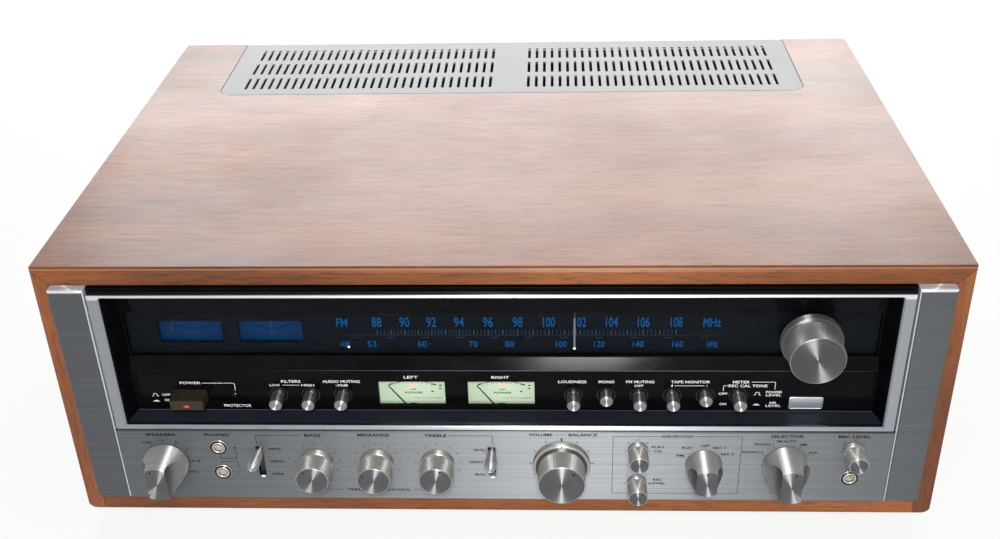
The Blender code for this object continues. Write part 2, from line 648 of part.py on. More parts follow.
def dial_pointer():
    """The upright in front of the scale, and the hook by which it slides along the plate's top edge."""
    x = POINTER_SHARE * TROUGH_HALF
    front = (POCKET_Y + SCALE_Y - POINTER_THICKNESS) / 2
    foot_z = DIAL_BOTTOM + POINTER_FOOT_SHARE * DIAL_HEIGHT
    hook_z = SCALE_TOP + GAP
    hook_top = hook_z + POINTER_HOOK_HEIGHT
    hook_tip = SCALE_TOP - POINTER_HOOK_HEIGHT
    back = SCALE_BACK_Y + GAP
    tail = back + POINTER_THICKNESS
    side_view = [(front, foot_z), (front + POINTER_THICKNESS, foot_z), (front + POINTER_THICKNESS, hook_z),
                 (back, hook_z), (back, hook_tip), (tail, hook_tip), (tail, hook_top), (front, hook_top)]
    bm = bmesh.new()
    half = POINTER_WIDTH / 2
    add_between(bm, [(-half, y, z) for y, z in side_view], [(half, y, z) for y, z in side_view])
    pointer = make("dial_pointer", bm, pointer_paint, (x, 0, 0))
    carriage = bmesh.new()
    add_block(carriage, (-POINTER_HOOK_WIDTH / 2, front + POINTER_THICKNESS / 2, hook_z + GAP / 2),
              (POINTER_HOOK_WIDTH / 2, tail - POINTER_THICKNESS / 2, hook_top - GAP / 2))
    combine(pointer, helper("pointer_carriage", carriage, (x, 0, 0)), "UNION")


dial_pointer()


# The tuning knob and what it turns.
TUNING_SKIRT_RADIUS = 0.01865
TUNING_BODY_RADIUS = 0.0170
TUNING_FACE_RADIUS = 0.0165
TUNING_LENGTH = 0.0258
TUNING_SKIRT_LENGTH = 0.0075
TUNING_WAIST = 0.0012
TUNING_CHAMFER = 0.0009
TUNING_BORE_DEPTH = 0.014
TUNING_COLLAR_RADIUS = 0.011
TUNING_CLEARANCE = 0.0006
TUNING_STEPS = 36
FLYWHEEL_RADIUS = 0.028
FLYWHEEL_THICKNESS = 0.012
FLYWHEEL_SETBACK = 0.026
FLYWHEEL_TAIL = 0.008
FLYWHEEL_STEPS = 28


def tuning_drive():
    """The big knob in front of the dial, and its shaft with the flywheel that makes it spin smoothly."""
    bore = SHAFT_RADIUS + GAP
    body_start = TUNING_SKIRT_LENGTH + TUNING_WAIST
    profile = [
        (0, -TUNING_LENGTH), (TUNING_FACE_RADIUS - TUNING_CHAMFER, -TUNING_LENGTH),
        (TUNING_FACE_RADIUS, -TUNING_LENGTH + TUNING_CHAMFER), (TUNING_BODY_RADIUS, -body_start),
        (TUNING_SKIRT_RADIUS - TUNING_CHAMFER, -TUNING_SKIRT_LENGTH - TUNING_CHAMFER),
        (TUNING_SKIRT_RADIUS, -TUNING_SKIRT_LENGTH), (TUNING_SKIRT_RADIUS, -TUNING_SKIRT_LENGTH / 2),
        (TUNING_COLLAR_RADIUS, -TUNING_CLEARANCE), (bore, -TUNING_CLEARANCE),
        (bore, -TUNING_BORE_DEPTH), (0, -TUNING_BORE_DEPTH),
    ]
    lathe("tuning_knob", profile, TUNING_STEPS, turned_aluminium, (TUNING_X, DIAL_Y, DIAL_ROW_Z))
    shaft_front = GAP - TUNING_BORE_DEPTH
    wheel_back = FLYWHEEL_SETBACK + FLYWHEEL_THICKNESS
    shaft = [
        (0, shaft_front), (SHAFT_RADIUS, shaft_front), (SHAFT_RADIUS, FLYWHEEL_SETBACK),
        (FLYWHEEL_RADIUS, FLYWHEEL_SETBACK), (FLYWHEEL_RADIUS, wheel_back), (SHAFT_RADIUS, wheel_back),
        (SHAFT_RADIUS, wheel_back + FLYWHEEL_TAIL), (0, wheel_back + FLYWHEEL_TAIL),
    ]
    lathe("tuning_flywheel", shaft, FLYWHEEL_STEPS, flywheel_brass, (TUNING_X, DIAL_Y, DIAL_ROW_Z))


tuning_drive()


# Push buttons: turned rods in the control panel, two of them latched in.
BUTTON_REACH = 0.011
BUTTON_TAIL = 0.004
BUTTON_CHAMFER = 0.0006
BUTTON_TRAVEL = 0.0045
BUTTON_STEPS = 16
LATCHED_BUTTONS = ("mono", "tape_monitor_2")
POWER_BUTTON_REACH = 0.0116
POWER_BUTTON_CHAMFER = 0.0007


def push_buttons():
    """The nine turned buttons, each an object of its own."""
    tail = HOUSING_WALL + BUTTON_TAIL
    profile = [(0, -BUTTON_REACH), (BUTTON_RADIUS - BUTTON_CHAMFER, -BUTTON_REACH),
               (BUTTON_RADIUS, -BUTTON_REACH + BUTTON_CHAMFER), (BUTTON_RADIUS, tail), (0, tail)]
    for name, x in BUTTON_XS.items():
        pressed = BUTTON_TRAVEL if name in LATCHED_BUTTONS else 0
        place = (x, CONTROL_PANEL_Y + pressed, BUTTON_ROW_Z)
        lathe(name + "_button", profile, BUTTON_STEPS, turned_aluminium, place)


def power_button():
    """The wide translucent power button with its lamp inside."""
    bm = bmesh.new()
    half = POWER_BUTTON_WIDTH / 2
    rise = POWER_BUTTON_HEIGHT / 2
    add_block(bm, (-half, -POWER_BUTTON_REACH, -rise), (half, HOUSING_WALL + BUTTON_TAIL, rise))
    bevel_where(bm, lambda p: p.y < MERGE - POWER_BUTTON_REACH, POWER_BUTTON_CHAMFER)
    make("power_button", bm, amber_plastic, (POWER_SHARE * TROUGH_HALF, CONTROL_PANEL_Y, BUTTON_ROW_Z))


push_buttons()
power_button()


# Meters: a case open in front, its dial plate inside, and a needle on a pivot.
METER_CASE_RIM = 0.002
METER_NEEDLE_ROOM = 0.0022
METER_CASE_DEPTH = 0.021
NEEDLE_THICKNESS = 0.0005
NEEDLE_TIP_HALF = 0.00022
NEEDLE_ROOT_HALF = 0.00045
NEEDLE_STEPS = 14
POWER_NEEDLE_LENGTH = 0.0261
POWER_HUB_RADIUS = 0.0077
POWER_PIVOT_DROP = 0.0088
POWER_NEEDLE_REST = math.radians(-36)
BLUE_NEEDLE_LENGTH = 0.038
BLUE_HUB_RADIUS = 0.003
BLUE_NEEDLE_FOOT = 0.0022
BLUE_SWEEP_MARGIN = 0.0013
SIGNAL_NEEDLE_REST = math.radians(22)
BLUE_SWEEP_HALF = BLUE_NEEDLE_LENGTH * math.sin(SIGNAL_NEEDLE_REST) + BLUE_SWEEP_MARGIN


def meter_case(name, x, y, z, room, rim, material):
    """A meter's case: room holds how far the needle's space reaches left and right, down and up."""
    half, down, up = room
    bm = bmesh.new()
    add_block(bm, (-half - rim, 0, -down - rim), (half + rim, METER_CASE_DEPTH, up + rim))
    case = make(name, bm, material, (x, y, z))
    cut = bmesh.new()
    add_block(cut, (-half, -OVERRUN, -down), (half, METER_NEEDLE_ROOM, up))
    combine(case, helper(name + "_room", cut, (x, y, z)), "DIFFERENCE")


def needle(name, place, length, hub, lean, points_down=False):
    """A flat needle with a round hub; at rest it leans clockwise by an angle, seen from the front."""
    start = math.asin(NEEDLE_ROOT_HALF / hub)
    sweep = math.tau - 2 * start
    outline = [(-NEEDLE_TIP_HALF, length), (NEEDLE_TIP_HALF, length)]
    for step in range(NEEDLE_STEPS + 1):
        angle = start + sweep * step / NEEDLE_STEPS
        outline.append((hub * math.sin(angle), hub * math.cos(angle)))
    turn = -1 if points_down else 1
    bm = bmesh.new()
    add_between(bm, [(turn * px, 0, turn * pz) for px, pz in outline],
                [(turn * px, NEEDLE_THICKNESS, turn * pz) for px, pz in outline])
    made = make(name, bm, needle_black, place)
    made.rotation_euler = (0, lean, 0)


def meters():
    """Two power meters in the control panel, and the signal and tuning meters behind the dial."""
    needle_inset = METER_NEEDLE_ROOM - GAP - NEEDLE_THICKNESS
    case_y = CONTROL_BACK_Y + GAP
    pivot_z = METER_ROW_Z - POWER_WINDOW_HEIGHT / 2 - POWER_PIVOT_DROP
    down = POWER_HUB_RADIUS + GAP
    up = max(METER_ROW_Z + POWER_WINDOW_HEIGHT / 2 - pivot_z, POWER_NEEDLE_LENGTH) + GAP
    for side, share in POWER_METER_SHARES.items():
        x = share * TROUGH_HALF
        room = (POWER_WINDOW_WIDTH / 2 + GAP, down, up)
        meter_case("power_meter_" + side, x, case_y, pivot_z, room, METER_CASE_RIM, green_meter)
        needle("power_needle_" + side, (x, case_y + needle_inset, pivot_z),
               POWER_NEEDLE_LENGTH, POWER_HUB_RADIUS, POWER_NEEDLE_REST)
    case_y = SCALE_BACK_Y + GAP
    pivot_z = DIAL_ROW_Z - BLUE_WINDOW_HEIGHT / 2 + BLUE_NEEDLE_FOOT + BLUE_NEEDLE_LENGTH
    down = BLUE_NEEDLE_LENGTH + BLUE_NEEDLE_FOOT + GAP
    up = BLUE_HUB_RADIUS + GAP
    rests = {"signal": SIGNAL_NEEDLE_REST, "tuning": 0}
    for kind, share in BLUE_METER_SHARES.items():
        x = share * TROUGH_HALF
        room = (max(BLUE_SWEEP_HALF, BLUE_WINDOW_WIDTH / 2 + GAP), down, up)
        meter_case(kind + "_meter", x, case_y, pivot_z, room, METER_CASE_RIM, blue_meter)
        needle(kind + "_needle", (x, case_y + needle_inset, pivot_z),
               BLUE_NEEDLE_LENGTH, BLUE_HUB_RADIUS, rests[kind], points_down=True)


meters()


# Turned knobs on the faceplate. Each has a skirt, a knurled body and a spun face.
KNOB_CHAMFER = 0.0007
KNOB_STEPS = 26
SMALL_KNOB_STEPS = 18
TONE_SKIRT_RADIUS = 0.0106
TONE_BODY_RADIUS = 0.0103
TONE_SKIRT_LENGTH = 0.0045
TONE_LENGTH = 0.018
BALANCE_RADIUS = 0.0179
BALANCE_LENGTH = 0.0046
VOLUME_RADIUS = 0.0146
VOLUME_LENGTH = 0.021
LEVEL_SKIRT_RADIUS = 0.0063
LEVEL_BODY_RADIUS = 0.006
LEVEL_SKIRT_LENGTH = 0.0034
LEVEL_LENGTH = 0.0157
SHAFT_END = PANEL_THICKNESS + SHAFT_TAIL


def round_knob(name, x, z, length, body, skirt, skirt_length, steps):
    """A knob with its shaft through the faceplate."""
    profile = [
        (0, -length), (body - KNOB_CHAMFER, -length), (body, -length + KNOB_CHAMFER), (body, -skirt_length),
        (skirt - KNOB_CHAMFER, -skirt_length), (skirt, -skirt_length + KNOB_CHAMFER), (skirt, -GAP),
        (SHAFT_RADIUS, -GAP), (SHAFT_RADIUS, SHAFT_END), (0, SHAFT_END),
    ]
    lathe(name, profile, steps, knob_aluminium, (x, FRONT_Y, z))


def tone_and_level_knobs():
    """Three tone knobs, two tape levels and the microphone level."""
    for kind, share in TONE_SHARES.items():
        round_knob(kind + "_knob", face_x(share), face_z(CONTROL_ROW_SHARE), TONE_LENGTH,
                   TONE_BODY_RADIUS, TONE_SKIRT_RADIUS, TONE_SKIRT_LENGTH, KNOB_STEPS)
    levels = [(kind + "_level_knob", LEVEL_SHARE, share) for kind, share in LEVEL_ROW_SHARES.items()]
    levels.append(("mic_level_knob", MIC_SHARE, MIC_ROW_SHARES["level"]))
    for name, across, up in levels:
        round_knob(name, face_x(across), face_z(up), LEVEL_LENGTH,
                   LEVEL_BODY_RADIUS, LEVEL_SKIRT_RADIUS, LEVEL_SKIRT_LENGTH, SMALL_KNOB_STEPS)


def volume_and_balance():
    """The balance ring turns on a sleeve, and the volume knob's shaft turns inside it."""
    place = (face_x(VOLUME_SHARE), FRONT_Y, face_z(CONTROL_ROW_SHARE))
    bore = SHAFT_RADIUS + GAP
    ring = [
        (bore, -BALANCE_LENGTH), (BALANCE_RADIUS - KNOB_CHAMFER, -BALANCE_LENGTH),
        (BALANCE_RADIUS, -BALANCE_LENGTH + KNOB_CHAMFER), (BALANCE_RADIUS, -GAP), (SLEEVE_RADIUS, -GAP),
        (SLEEVE_RADIUS, SHAFT_END), (bore, SHAFT_END),
    ]
    lathe("balance_ring", ring, KNOB_STEPS, knob_aluminium, place, closed=True)
    rear = BALANCE_LENGTH + GAP
    tail = SHAFT_END + SHAFT_TAIL
    knob = [
        (0, -VOLUME_LENGTH), (VOLUME_RADIUS - KNOB_CHAMFER, -VOLUME_LENGTH),
        (VOLUME_RADIUS, -VOLUME_LENGTH + KNOB_CHAMFER), (VOLUME_RADIUS, -rear),
        (SHAFT_RADIUS, -rear), (SHAFT_RADIUS, tail), (0, tail),
    ]
    lathe("volume_knob", knob, KNOB_STEPS, knob_aluminium, place)


tone_and_level_knobs()
volume_and_balance()


# Pointer knobs: turned blanks scooped away on both sides until a grip is left.
POINTER_KNOB_RADIUS = 0.0141
POINTER_KNOB_NOSE_RADIUS = 0.0127
POINTER_KNOB_RIM = 0.0042
POINTER_GRIP_HALF = 0.0062
FILTER_KNOB_RADIUS = 0.0113
FILTER_KNOB_NOSE_RADIUS = 0.0102
FILTER_KNOB_LENGTH = 0.0195
FILTER_GRIP_HALF = 0.0063
SCOOP_STEPS = 32


def pointer_knob(name, share, radius, nose, length, grip_half):
    """A pointer knob with its grip upright, as all three stand in the photograph."""
    place = (face_x(share), FRONT_Y, face_z(CONTROL_ROW_SHARE))
    profile = [
        (0, -length), (nose - KNOB_CHAMFER, -length), (nose, -length + KNOB_CHAMFER),
        (radius, -POINTER_KNOB_RIM), (radius, -GAP), (SHAFT_RADIUS, -GAP),
        (SHAFT_RADIUS, SHAFT_END), (0, SHAFT_END),
    ]
    knob = lathe(name, profile, KNOB_STEPS, knob_aluminium, place)
    scoop = length - POINTER_KNOB_RIM
    upright = Matrix.Rotation(math.radians(90), 4, "X")
    cuts = bmesh.new()
    for side in (-1, 1):
        spot = Matrix.Translation((side * (grip_half + scoop), -length, 0)) @ upright
        add_rod(cuts, scoop, -radius - OVERRUN, radius + OVERRUN, SCOOP_STEPS, spot)
    combine(knob, helper(name + "_scoops", cuts, place), "DIFFERENCE")


pointer_knob("speaker_selector", SPEAKER_SHARE, POINTER_KNOB_RADIUS,
             POINTER_KNOB_NOSE_RADIUS, POINTER_KNOB_LENGTH, POINTER_GRIP_HALF)
pointer_knob("noise_filter_selector", FILTER_SHARE, FILTER_KNOB_RADIUS,
             FILTER_KNOB_NOSE_RADIUS, FILTER_KNOB_LENGTH, FILTER_GRIP_HALF)
pointer_knob("input_selector", SELECTOR_SHARE, POINTER_KNOB_RADIUS,
             POINTER_KNOB_NOSE_RADIUS, POINTER_KNOB_LENGTH, POINTER_GRIP_HALF)


# Turnover levers: bat handles on pivots behind the faceplate.
LEVER_PIVOT_DEPTH = 0.043
LEVER_REACH = 0.0225
LEVER_BAT_RADIUS = 0.0037
LEVER_HUB_RADIUS = 0.0035
LEVER_TILT = math.radians(10.5)
LEVER_STEPS = 12
LEVER_SWELL_SHARE = 0.72
LEVER_SHOULDER_SHARE = 0.12
LEVER_NECK_SHARE = 0.3
LEVER_NECK_WIDTH_SHARE = 0.86
LEVER_TIP_SHARES = ((0.94, 0.12), (0.75, 0.04), (0.4, 0.006))


def turnover_lever(name, share):
    """A lever that tilts in its slot; it stands in the upper of three positions."""
    end = LEVER_PIVOT_DEPTH + LEVER_REACH
    shoulder = LEVER_PIVOT_DEPTH + LEVER_REACH * LEVER_SHOULDER_SHARE
    profile = [(0, -end)]
    for width_share, back_share in reversed(LEVER_TIP_SHARES):
        profile.append((LEVER_BAT_RADIUS * width_share, LEVER_REACH * back_share - end))
    profile += [
        (LEVER_BAT_RADIUS, -LEVER_PIVOT_DEPTH - LEVER_REACH * LEVER_SWELL_SHARE),
        (LEVER_BAT_RADIUS * LEVER_NECK_WIDTH_SHARE, -LEVER_PIVOT_DEPTH - LEVER_REACH * LEVER_NECK_SHARE),
        (LEVER_RADIUS, -shoulder), (LEVER_RADIUS, -LEVER_HUB_RADIUS),
        (LEVER_HUB_RADIUS, -LEVER_RADIUS), (LEVER_HUB_RADIUS, LEVER_RADIUS),
        (LEVER_RADIUS, LEVER_HUB_RADIUS), (0, LEVER_HUB_RADIUS),
    ]
    place = (face_x(share), FRONT_Y + LEVER_PIVOT_DEPTH, face_z(LEVER_ROW_SHARE))
    lever = lathe(name, profile, LEVER_STEPS, knob_aluminium, place)
    lever.rotation_euler = (-LEVER_TILT, 0, 0)


turnover_lever("bass_turnover_lever", BASS_LEVER_SHARE)
turnover_lever("treble_turnover_lever", TREBLE_LEVER_SHARE)


# Sockets for quarter-inch plugs.
SOCKET_RIM_HEIGHT = 0.0012
SOCKET_RIM_CHAMFER = 0.0005
SOCKET_BODY_RADIUS = 0.0075
SOCKET_BODY_LENGTH = 0.022
SOCKET_END_WALL = 0.002
SOCKET_STEPS = 18


def socket(name, share, row_share):
    """A panel socket: the rim in front of the faceplate, the barrel through it and the body behind."""
    shoulder = PANEL_THICKNESS + GAP
    end = shoulder + SOCKET_BODY_LENGTH
    bore_end = end - SOCKET_END_WALL
    profile = [
        (0, bore_end), (SOCKET_BORE_RADIUS, bore_end), (SOCKET_BORE_RADIUS, -SOCKET_RIM_HEIGHT),
        (SOCKET_NUT_RADIUS - SOCKET_RIM_CHAMFER, -SOCKET_RIM_HEIGHT),
        (SOCKET_NUT_RADIUS, -SOCKET_RIM_HEIGHT + SOCKET_RIM_CHAMFER), (SOCKET_NUT_RADIUS, -GAP),
        (SOCKET_BARREL_RADIUS, -GAP), (SOCKET_BARREL_RADIUS, shoulder), (SOCKET_BODY_RADIUS, shoulder),
        (SOCKET_BODY_RADIUS, end), (0, end),
    ]
    lathe(name, profile, SOCKET_STEPS, socket_nickel, (face_x(share), FRONT_Y, face_z(row_share)))


socket("phones_socket_upper", PHONES_SHARE, PHONES_ROW_SHARES[0])
socket("phones_socket_lower", PHONES_SHARE, PHONES_ROW_SHARES[1])
socket("mic_socket", MIC_SHARE, MIC_ROW_SHARES["jack"])


# The rear panel with its phono jacks, cord gland and the aerial's ears.
JACK_RADIUS = 0.0041
JACK_LENGTH = 0.008
JACK_PITCH = 0.019
JACK_ROW_PITCH = 0.02
JACK_COLUMNS = 7
JACK_ROWS = 2
JACK_STEPS = 8
JACKS_SHARE = 0.85
JACKS_ROW_SHARE = 0.22
GLAND_RADIUS = 0.0085
GLAND_BORE_RADIUS = 0.0045
GLAND_LENGTH = 0.006
GLAND_SHARE = -0.86
GLAND_ROW_SHARE = 0.2
GLAND_STEPS = 16
AERIAL_SHARE = 0.72
AERIAL_ROW_SHARE = 0.83
AERIAL_LENGTH = 0.19
AERIAL_CAP_LIP = 0.0006
AERIAL_HUB_HEIGHT = 0.011
AERIAL_EAR_THICKNESS = 0.002
AERIAL_EAR_HALF = 0.0065
AERIAL_STEPS = 12
REAR_PANEL_TOP = OPENING_TOP - GAP
REAR_PANEL_HEIGHT = REAR_PANEL_TOP - REAR_BOTTOM
AERIAL_X = AERIAL_SHARE * INNER_HALF
AERIAL_Z = REAR_BOTTOM + AERIAL_ROW_SHARE * REAR_PANEL_HEIGHT


def rear_panel():
    """The steel back: a tongue closes the space under the grille, and jacks, gland and ears stand out."""
    half = INNER_HALF - GAP
    tongue = GRILLE_HALF - GAP
    tongue_top = CABINET_HEIGHT - GRILLE_SHEET - GAP
    outline = [(-half, REAR_BOTTOM), (half, REAR_BOTTOM), (half, REAR_PANEL_TOP),
               (tongue, REAR_PANEL_TOP), (tongue, tongue_top), (-tongue, tongue_top),
               (-tongue, REAR_PANEL_TOP), (-half, REAR_PANEL_TOP)]
    bm = bmesh.new()
    add_between(bm, [(x, REAR_Y, z) for x, z in outline], [(x, REAR_FACE_Y, z) for x, z in outline])
    panel = make("rear_panel", bm, black_steel)

    fittings = bmesh.new()
    root_y = (REAR_Y + REAR_FACE_Y) / 2
    for column in range(JACK_COLUMNS):
        for row in range(JACK_ROWS):
            x = JACKS_SHARE * INNER_HALF - column * JACK_PITCH
            z = REAR_BOTTOM + JACKS_ROW_SHARE * REAR_PANEL_HEIGHT + row * JACK_ROW_PITCH
            spot = Matrix.Translation((x, 0, z))
            add_rod(fittings, JACK_RADIUS, root_y, REAR_FACE_Y + JACK_LENGTH, JACK_STEPS, spot)
    gland_z = REAR_BOTTOM + GLAND_ROW_SHARE * REAR_PANEL_HEIGHT
    gland_end = REAR_FACE_Y + GLAND_LENGTH
    gland_place = Matrix.Translation((GLAND_SHARE * INNER_HALF, 0, gland_z))
    add_rod(fittings, GLAND_RADIUS, root_y, gland_end, GLAND_STEPS, gland_place)
    for side in (-1, 1):
        near = AERIAL_Z + side * (AERIAL_HUB_HEIGHT / 2 + GAP)
        far = near + side * AERIAL_EAR_THICKNESS
        add_block(fittings, (AERIAL_X - AERIAL_EAR_HALF, root_y, min(near, far)),
                  (AERIAL_X + AERIAL_EAR_HALF, AERIAL_Y + AERIAL_RADIUS, max(near, far)))
    combine(panel, helper("rear_fittings", fittings), "UNION")

    bore = bmesh.new()
    add_rod(bore, GLAND_BORE_RADIUS, REAR_Y - OVERRUN, gland_end + OVERRUN, GLAND_STEPS, gland_place)
    combine(panel, helper("gland_bore", bore), "DIFFERENCE")


def aerial_bar():
    """The ferrite aerial: a rod with end caps that swings out on its hub, between the panel's ears."""
    end = AERIAL_RADIUS * 2
    rod = AERIAL_RADIUS - AERIAL_CAP_LIP
    sideways = Matrix.Rotation(math.radians(90), 4, "Z")
    profile = [(0, 0), (AERIAL_RADIUS, 0), (AERIAL_RADIUS, end), (rod, end),
               (rod, AERIAL_LENGTH - end), (AERIAL_RADIUS, AERIAL_LENGTH - end),
               (AERIAL_RADIUS, AERIAL_LENGTH), (0, AERIAL_LENGTH)]
    bm = bmesh.new()
    add_turned(bm, profile, AERIAL_STEPS, sideways)
    bar = make("aerial_bar", bm, aerial_plastic, (AERIAL_X, AERIAL_Y, AERIAL_Z))
    hub = bmesh.new()
    standing = Matrix.Rotation(math.radians(90), 4, "X")
    add_rod(hub, AERIAL_RADIUS - GAP, -AERIAL_HUB_HEIGHT / 2, AERIAL_HUB_HEIGHT / 2, AERIAL_STEPS, standing)
    combine(bar, helper("aerial_hub", hub, (AERIAL_X, AERIAL_Y, AERIAL_Z)), "UNION")


rear_panel()
aerial_bar()


# Screw terminals for the loudspeakers and the outside aerials.
TERMINAL_COLUMNS = 8
TERMINAL_PITCH = 0.0165
TERMINAL_MARGIN = 0.011
TERMINAL_HEIGHT = 0.034
TERMINAL_DEPTH = 0.006
SCREW_RADIUS = 0.0045
SCREW_LENGTH = 0.006
SCREW_STEPS = 6
TERMINALS_SHARE = -0.30
TERMINALS_ROW_SHARE = 0.27
SCREW_ROW_SHARES = (-0.25, 0.25)


def terminal_block():
    """A black block with two rows of screws, fixed to the back."""
    width = TERMINAL_PITCH * (TERMINAL_COLUMNS - 1) + 2 * TERMINAL_MARGIN
    z = REAR_BOTTOM + TERMINALS_ROW_SHARE * REAR_PANEL_HEIGHT
    place = (TERMINALS_SHARE * INNER_HALF, REAR_FACE_Y + GAP, z)
    bm = bmesh.new()
    add_block(bm, (-width / 2, 0, -TERMINAL_HEIGHT / 2), (width / 2, TERMINAL_DEPTH, TERMINAL_HEIGHT / 2))
    block = make("terminal_block", bm, terminal_plastic, place)
    screws = bmesh.new()
    screw_end = TERMINAL_DEPTH + SCREW_LENGTH
    for column in range(TERMINAL_COLUMNS):
        x = TERMINAL_PITCH * (column - (TERMINAL_COLUMNS - 1) / 2)
        for share in SCREW_ROW_SHARES:
            spot = Matrix.Translation((x, 0, share * TERMINAL_HEIGHT))
            add_rod(screws, SCREW_RADIUS, TERMINAL_DEPTH / 2, screw_end, SCREW_STEPS, spot)
    combine(block, helper("terminal_screws", screws, place), "UNION")


terminal_block()


# What stands inside on the bottom plate.
TRANSFORMER_WIDTH = 0.096
TRANSFORMER_HEIGHT = 0.080
TRANSFORMER_CORE = 0.044
TRANSFORMER_BELL = 0.088
TRANSFORMER_BELL_INSET = 0.010
TRANSFORMER_BELL_BEVEL = 0.008
TRANSFORMER_SHARE = -0.66
TRANSFORMER_DEPTH_SHARE = 0.70
SINK_WIDTH = 0.250
SINK_HEIGHT = 0.105
SINK_BASE = 0.006
SINK_DEPTH = 0.056
SINK_FINS = 15
SINK_FIN_THICKNESS = 0.0025
SINK_SHARE = 0.30
SINK_CLEARANCE = 0.004
BOARD_WIDTH = 0.420
BOARD_LENGTH = 0.150
BOARD_THICKNESS = 0.0016
BOARD_LIFT = 0.008
BOARD_DEPTH_SHARE = 0.36
POST_RADIUS = 0.003
POST_INSET = 0.012
POST_STEPS = 8
CAN_RADIUS = 0.0175
CAN_HEIGHT = 0.062
CAN_STEPS = 20
CAN_PITCH = 0.045
SHIELD_WIDTH = 0.070
SHIELD_LENGTH = 0.055
SHIELD_HEIGHT = 0.022


def power_transformer():
    """The mains transformer: its laminated core between two end bells."""
    x = TRANSFORMER_SHARE * INNER_HALF
    y = TRANSFORMER_DEPTH_SHARE * CABINET_DEPTH
    base = CHASSIS_TOP + GAP
    half = TRANSFORMER_WIDTH / 2
    bm = bmesh.new()
    add_block(bm, (-half, -TRANSFORMER_CORE / 2, 0), (half, TRANSFORMER_CORE / 2, TRANSFORMER_HEIGHT))
    core = make("power_transformer", bm, transformer_paint, (x, y, base))
    bells = bmesh.new()
    inset = TRANSFORMER_BELL_INSET
    add_block(bells, (inset - half, -TRANSFORMER_BELL / 2, inset),
              (half - inset, TRANSFORMER_BELL / 2, TRANSFORMER_HEIGHT - inset))
    bevel_where(bells, lambda p: abs(p.y) > TRANSFORMER_BELL / 2 - MERGE, TRANSFORMER_BELL_BEVEL)
    combine(core, helper("transformer_bells", bells, (x, y, base)), "UNION")


def heat_sink():
    """The finned extrusion of the output stage, standing under the grille."""
    x = SINK_SHARE * INNER_HALF
    back = REAR_Y - SINK_CLEARANCE
    pitch = (SINK_WIDTH - SINK_FIN_THICKNESS) / (SINK_FINS - 1)
    left = x - SINK_WIDTH / 2
    outline = [(left + SINK_WIDTH, back), (left, back)]
    for fin in range(SINK_FINS):
        start = left + fin * pitch
        end = start + SINK_FIN_THICKNESS
        tip = back - SINK_DEPTH
        root = back - SINK_BASE
        if fin:
            outline.append((start, root))
        outline += [(start, tip), (end, tip)]
        if fin < SINK_FINS - 1:
            outline.append((end, root))
    base = CHASSIS_TOP + GAP
    top = base + SINK_HEIGHT
    bm = bmesh.new()
    add_between(bm, [(px, py, base) for px, py in outline], [(px, py, top) for px, py in outline])
    make("heat_sink", bm, sink_aluminium)


def main_board():
    """The circuit board on its posts, with the two reservoir capacitors and the tuner's shield."""
    y = BOARD_DEPTH_SHARE * CABINET_DEPTH
    base = CHASSIS_TOP + GAP
    top = BOARD_LIFT + BOARD_THICKNESS
    half_x = BOARD_WIDTH / 2
    half_y = BOARD_LENGTH / 2
    bm = bmesh.new()
    add_block(bm, (-half_x, -half_y, BOARD_LIFT), (half_x, half_y, top))
    board = make("main_board", bm, board_resin, (0, y, base))
    parts = bmesh.new()
    upright = Matrix.Rotation(math.radians(90), 4, "X")
    middle = BOARD_LIFT + BOARD_THICKNESS / 2
    for side_x in (-1, 1):
        for side_y in (-1, 1):
            spot = Matrix.Translation((side_x * (half_x - POST_INSET), side_y * (half_y - POST_INSET), 0))
            add_rod(parts, POST_RADIUS, 0, middle, POST_STEPS, spot @ upright)
    for number in (0, 1):
        spot = Matrix.Translation((CAN_RADIUS + CAN_PITCH * number - half_x / 2, 0, 0))
        add_rod(parts, CAN_RADIUS, middle, middle + CAN_HEIGHT, CAN_STEPS, spot @ upright)
    add_block(parts, (half_x / 2, -SHIELD_LENGTH / 2, middle),
              (half_x / 2 + SHIELD_WIDTH, SHIELD_LENGTH / 2, middle + SHIELD_HEIGHT))
    combine(board, helper("board_parts", parts, (0, y, base)), "UNION")


power_transformer()
heat_sink()
main_board()
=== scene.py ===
import math

import bmesh
import bpy
from mathutils import Matrix, Vector


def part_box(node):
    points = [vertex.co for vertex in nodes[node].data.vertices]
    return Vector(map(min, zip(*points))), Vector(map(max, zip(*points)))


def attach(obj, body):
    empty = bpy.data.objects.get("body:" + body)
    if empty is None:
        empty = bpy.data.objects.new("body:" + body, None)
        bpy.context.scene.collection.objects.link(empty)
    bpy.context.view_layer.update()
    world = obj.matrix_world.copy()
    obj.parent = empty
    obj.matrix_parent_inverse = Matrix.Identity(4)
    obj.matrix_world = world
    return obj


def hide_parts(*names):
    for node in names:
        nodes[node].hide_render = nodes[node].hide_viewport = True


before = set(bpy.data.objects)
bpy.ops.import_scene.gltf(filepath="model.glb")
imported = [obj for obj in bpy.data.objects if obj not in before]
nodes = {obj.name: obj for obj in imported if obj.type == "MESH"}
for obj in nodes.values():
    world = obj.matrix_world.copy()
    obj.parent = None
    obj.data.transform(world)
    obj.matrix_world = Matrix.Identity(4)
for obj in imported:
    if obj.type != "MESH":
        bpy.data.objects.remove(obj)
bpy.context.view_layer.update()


# The cabinet: four walnut-faced boards, mitred where the top meets the sides, with a low oiled gloss.
# The grain runs along the top board and the sill and up the sides; the sharp upper front edge carries a paler painted
# highlight.
board_low, board_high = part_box("wood_side_left")


def spot(x, y, z):
    """A point in millimetres from the foot of the boards' front, in the middle of the cabinet."""
    return Vector((x / 1000, board_low.y + y / 1000, board_low.z + z / 1000))


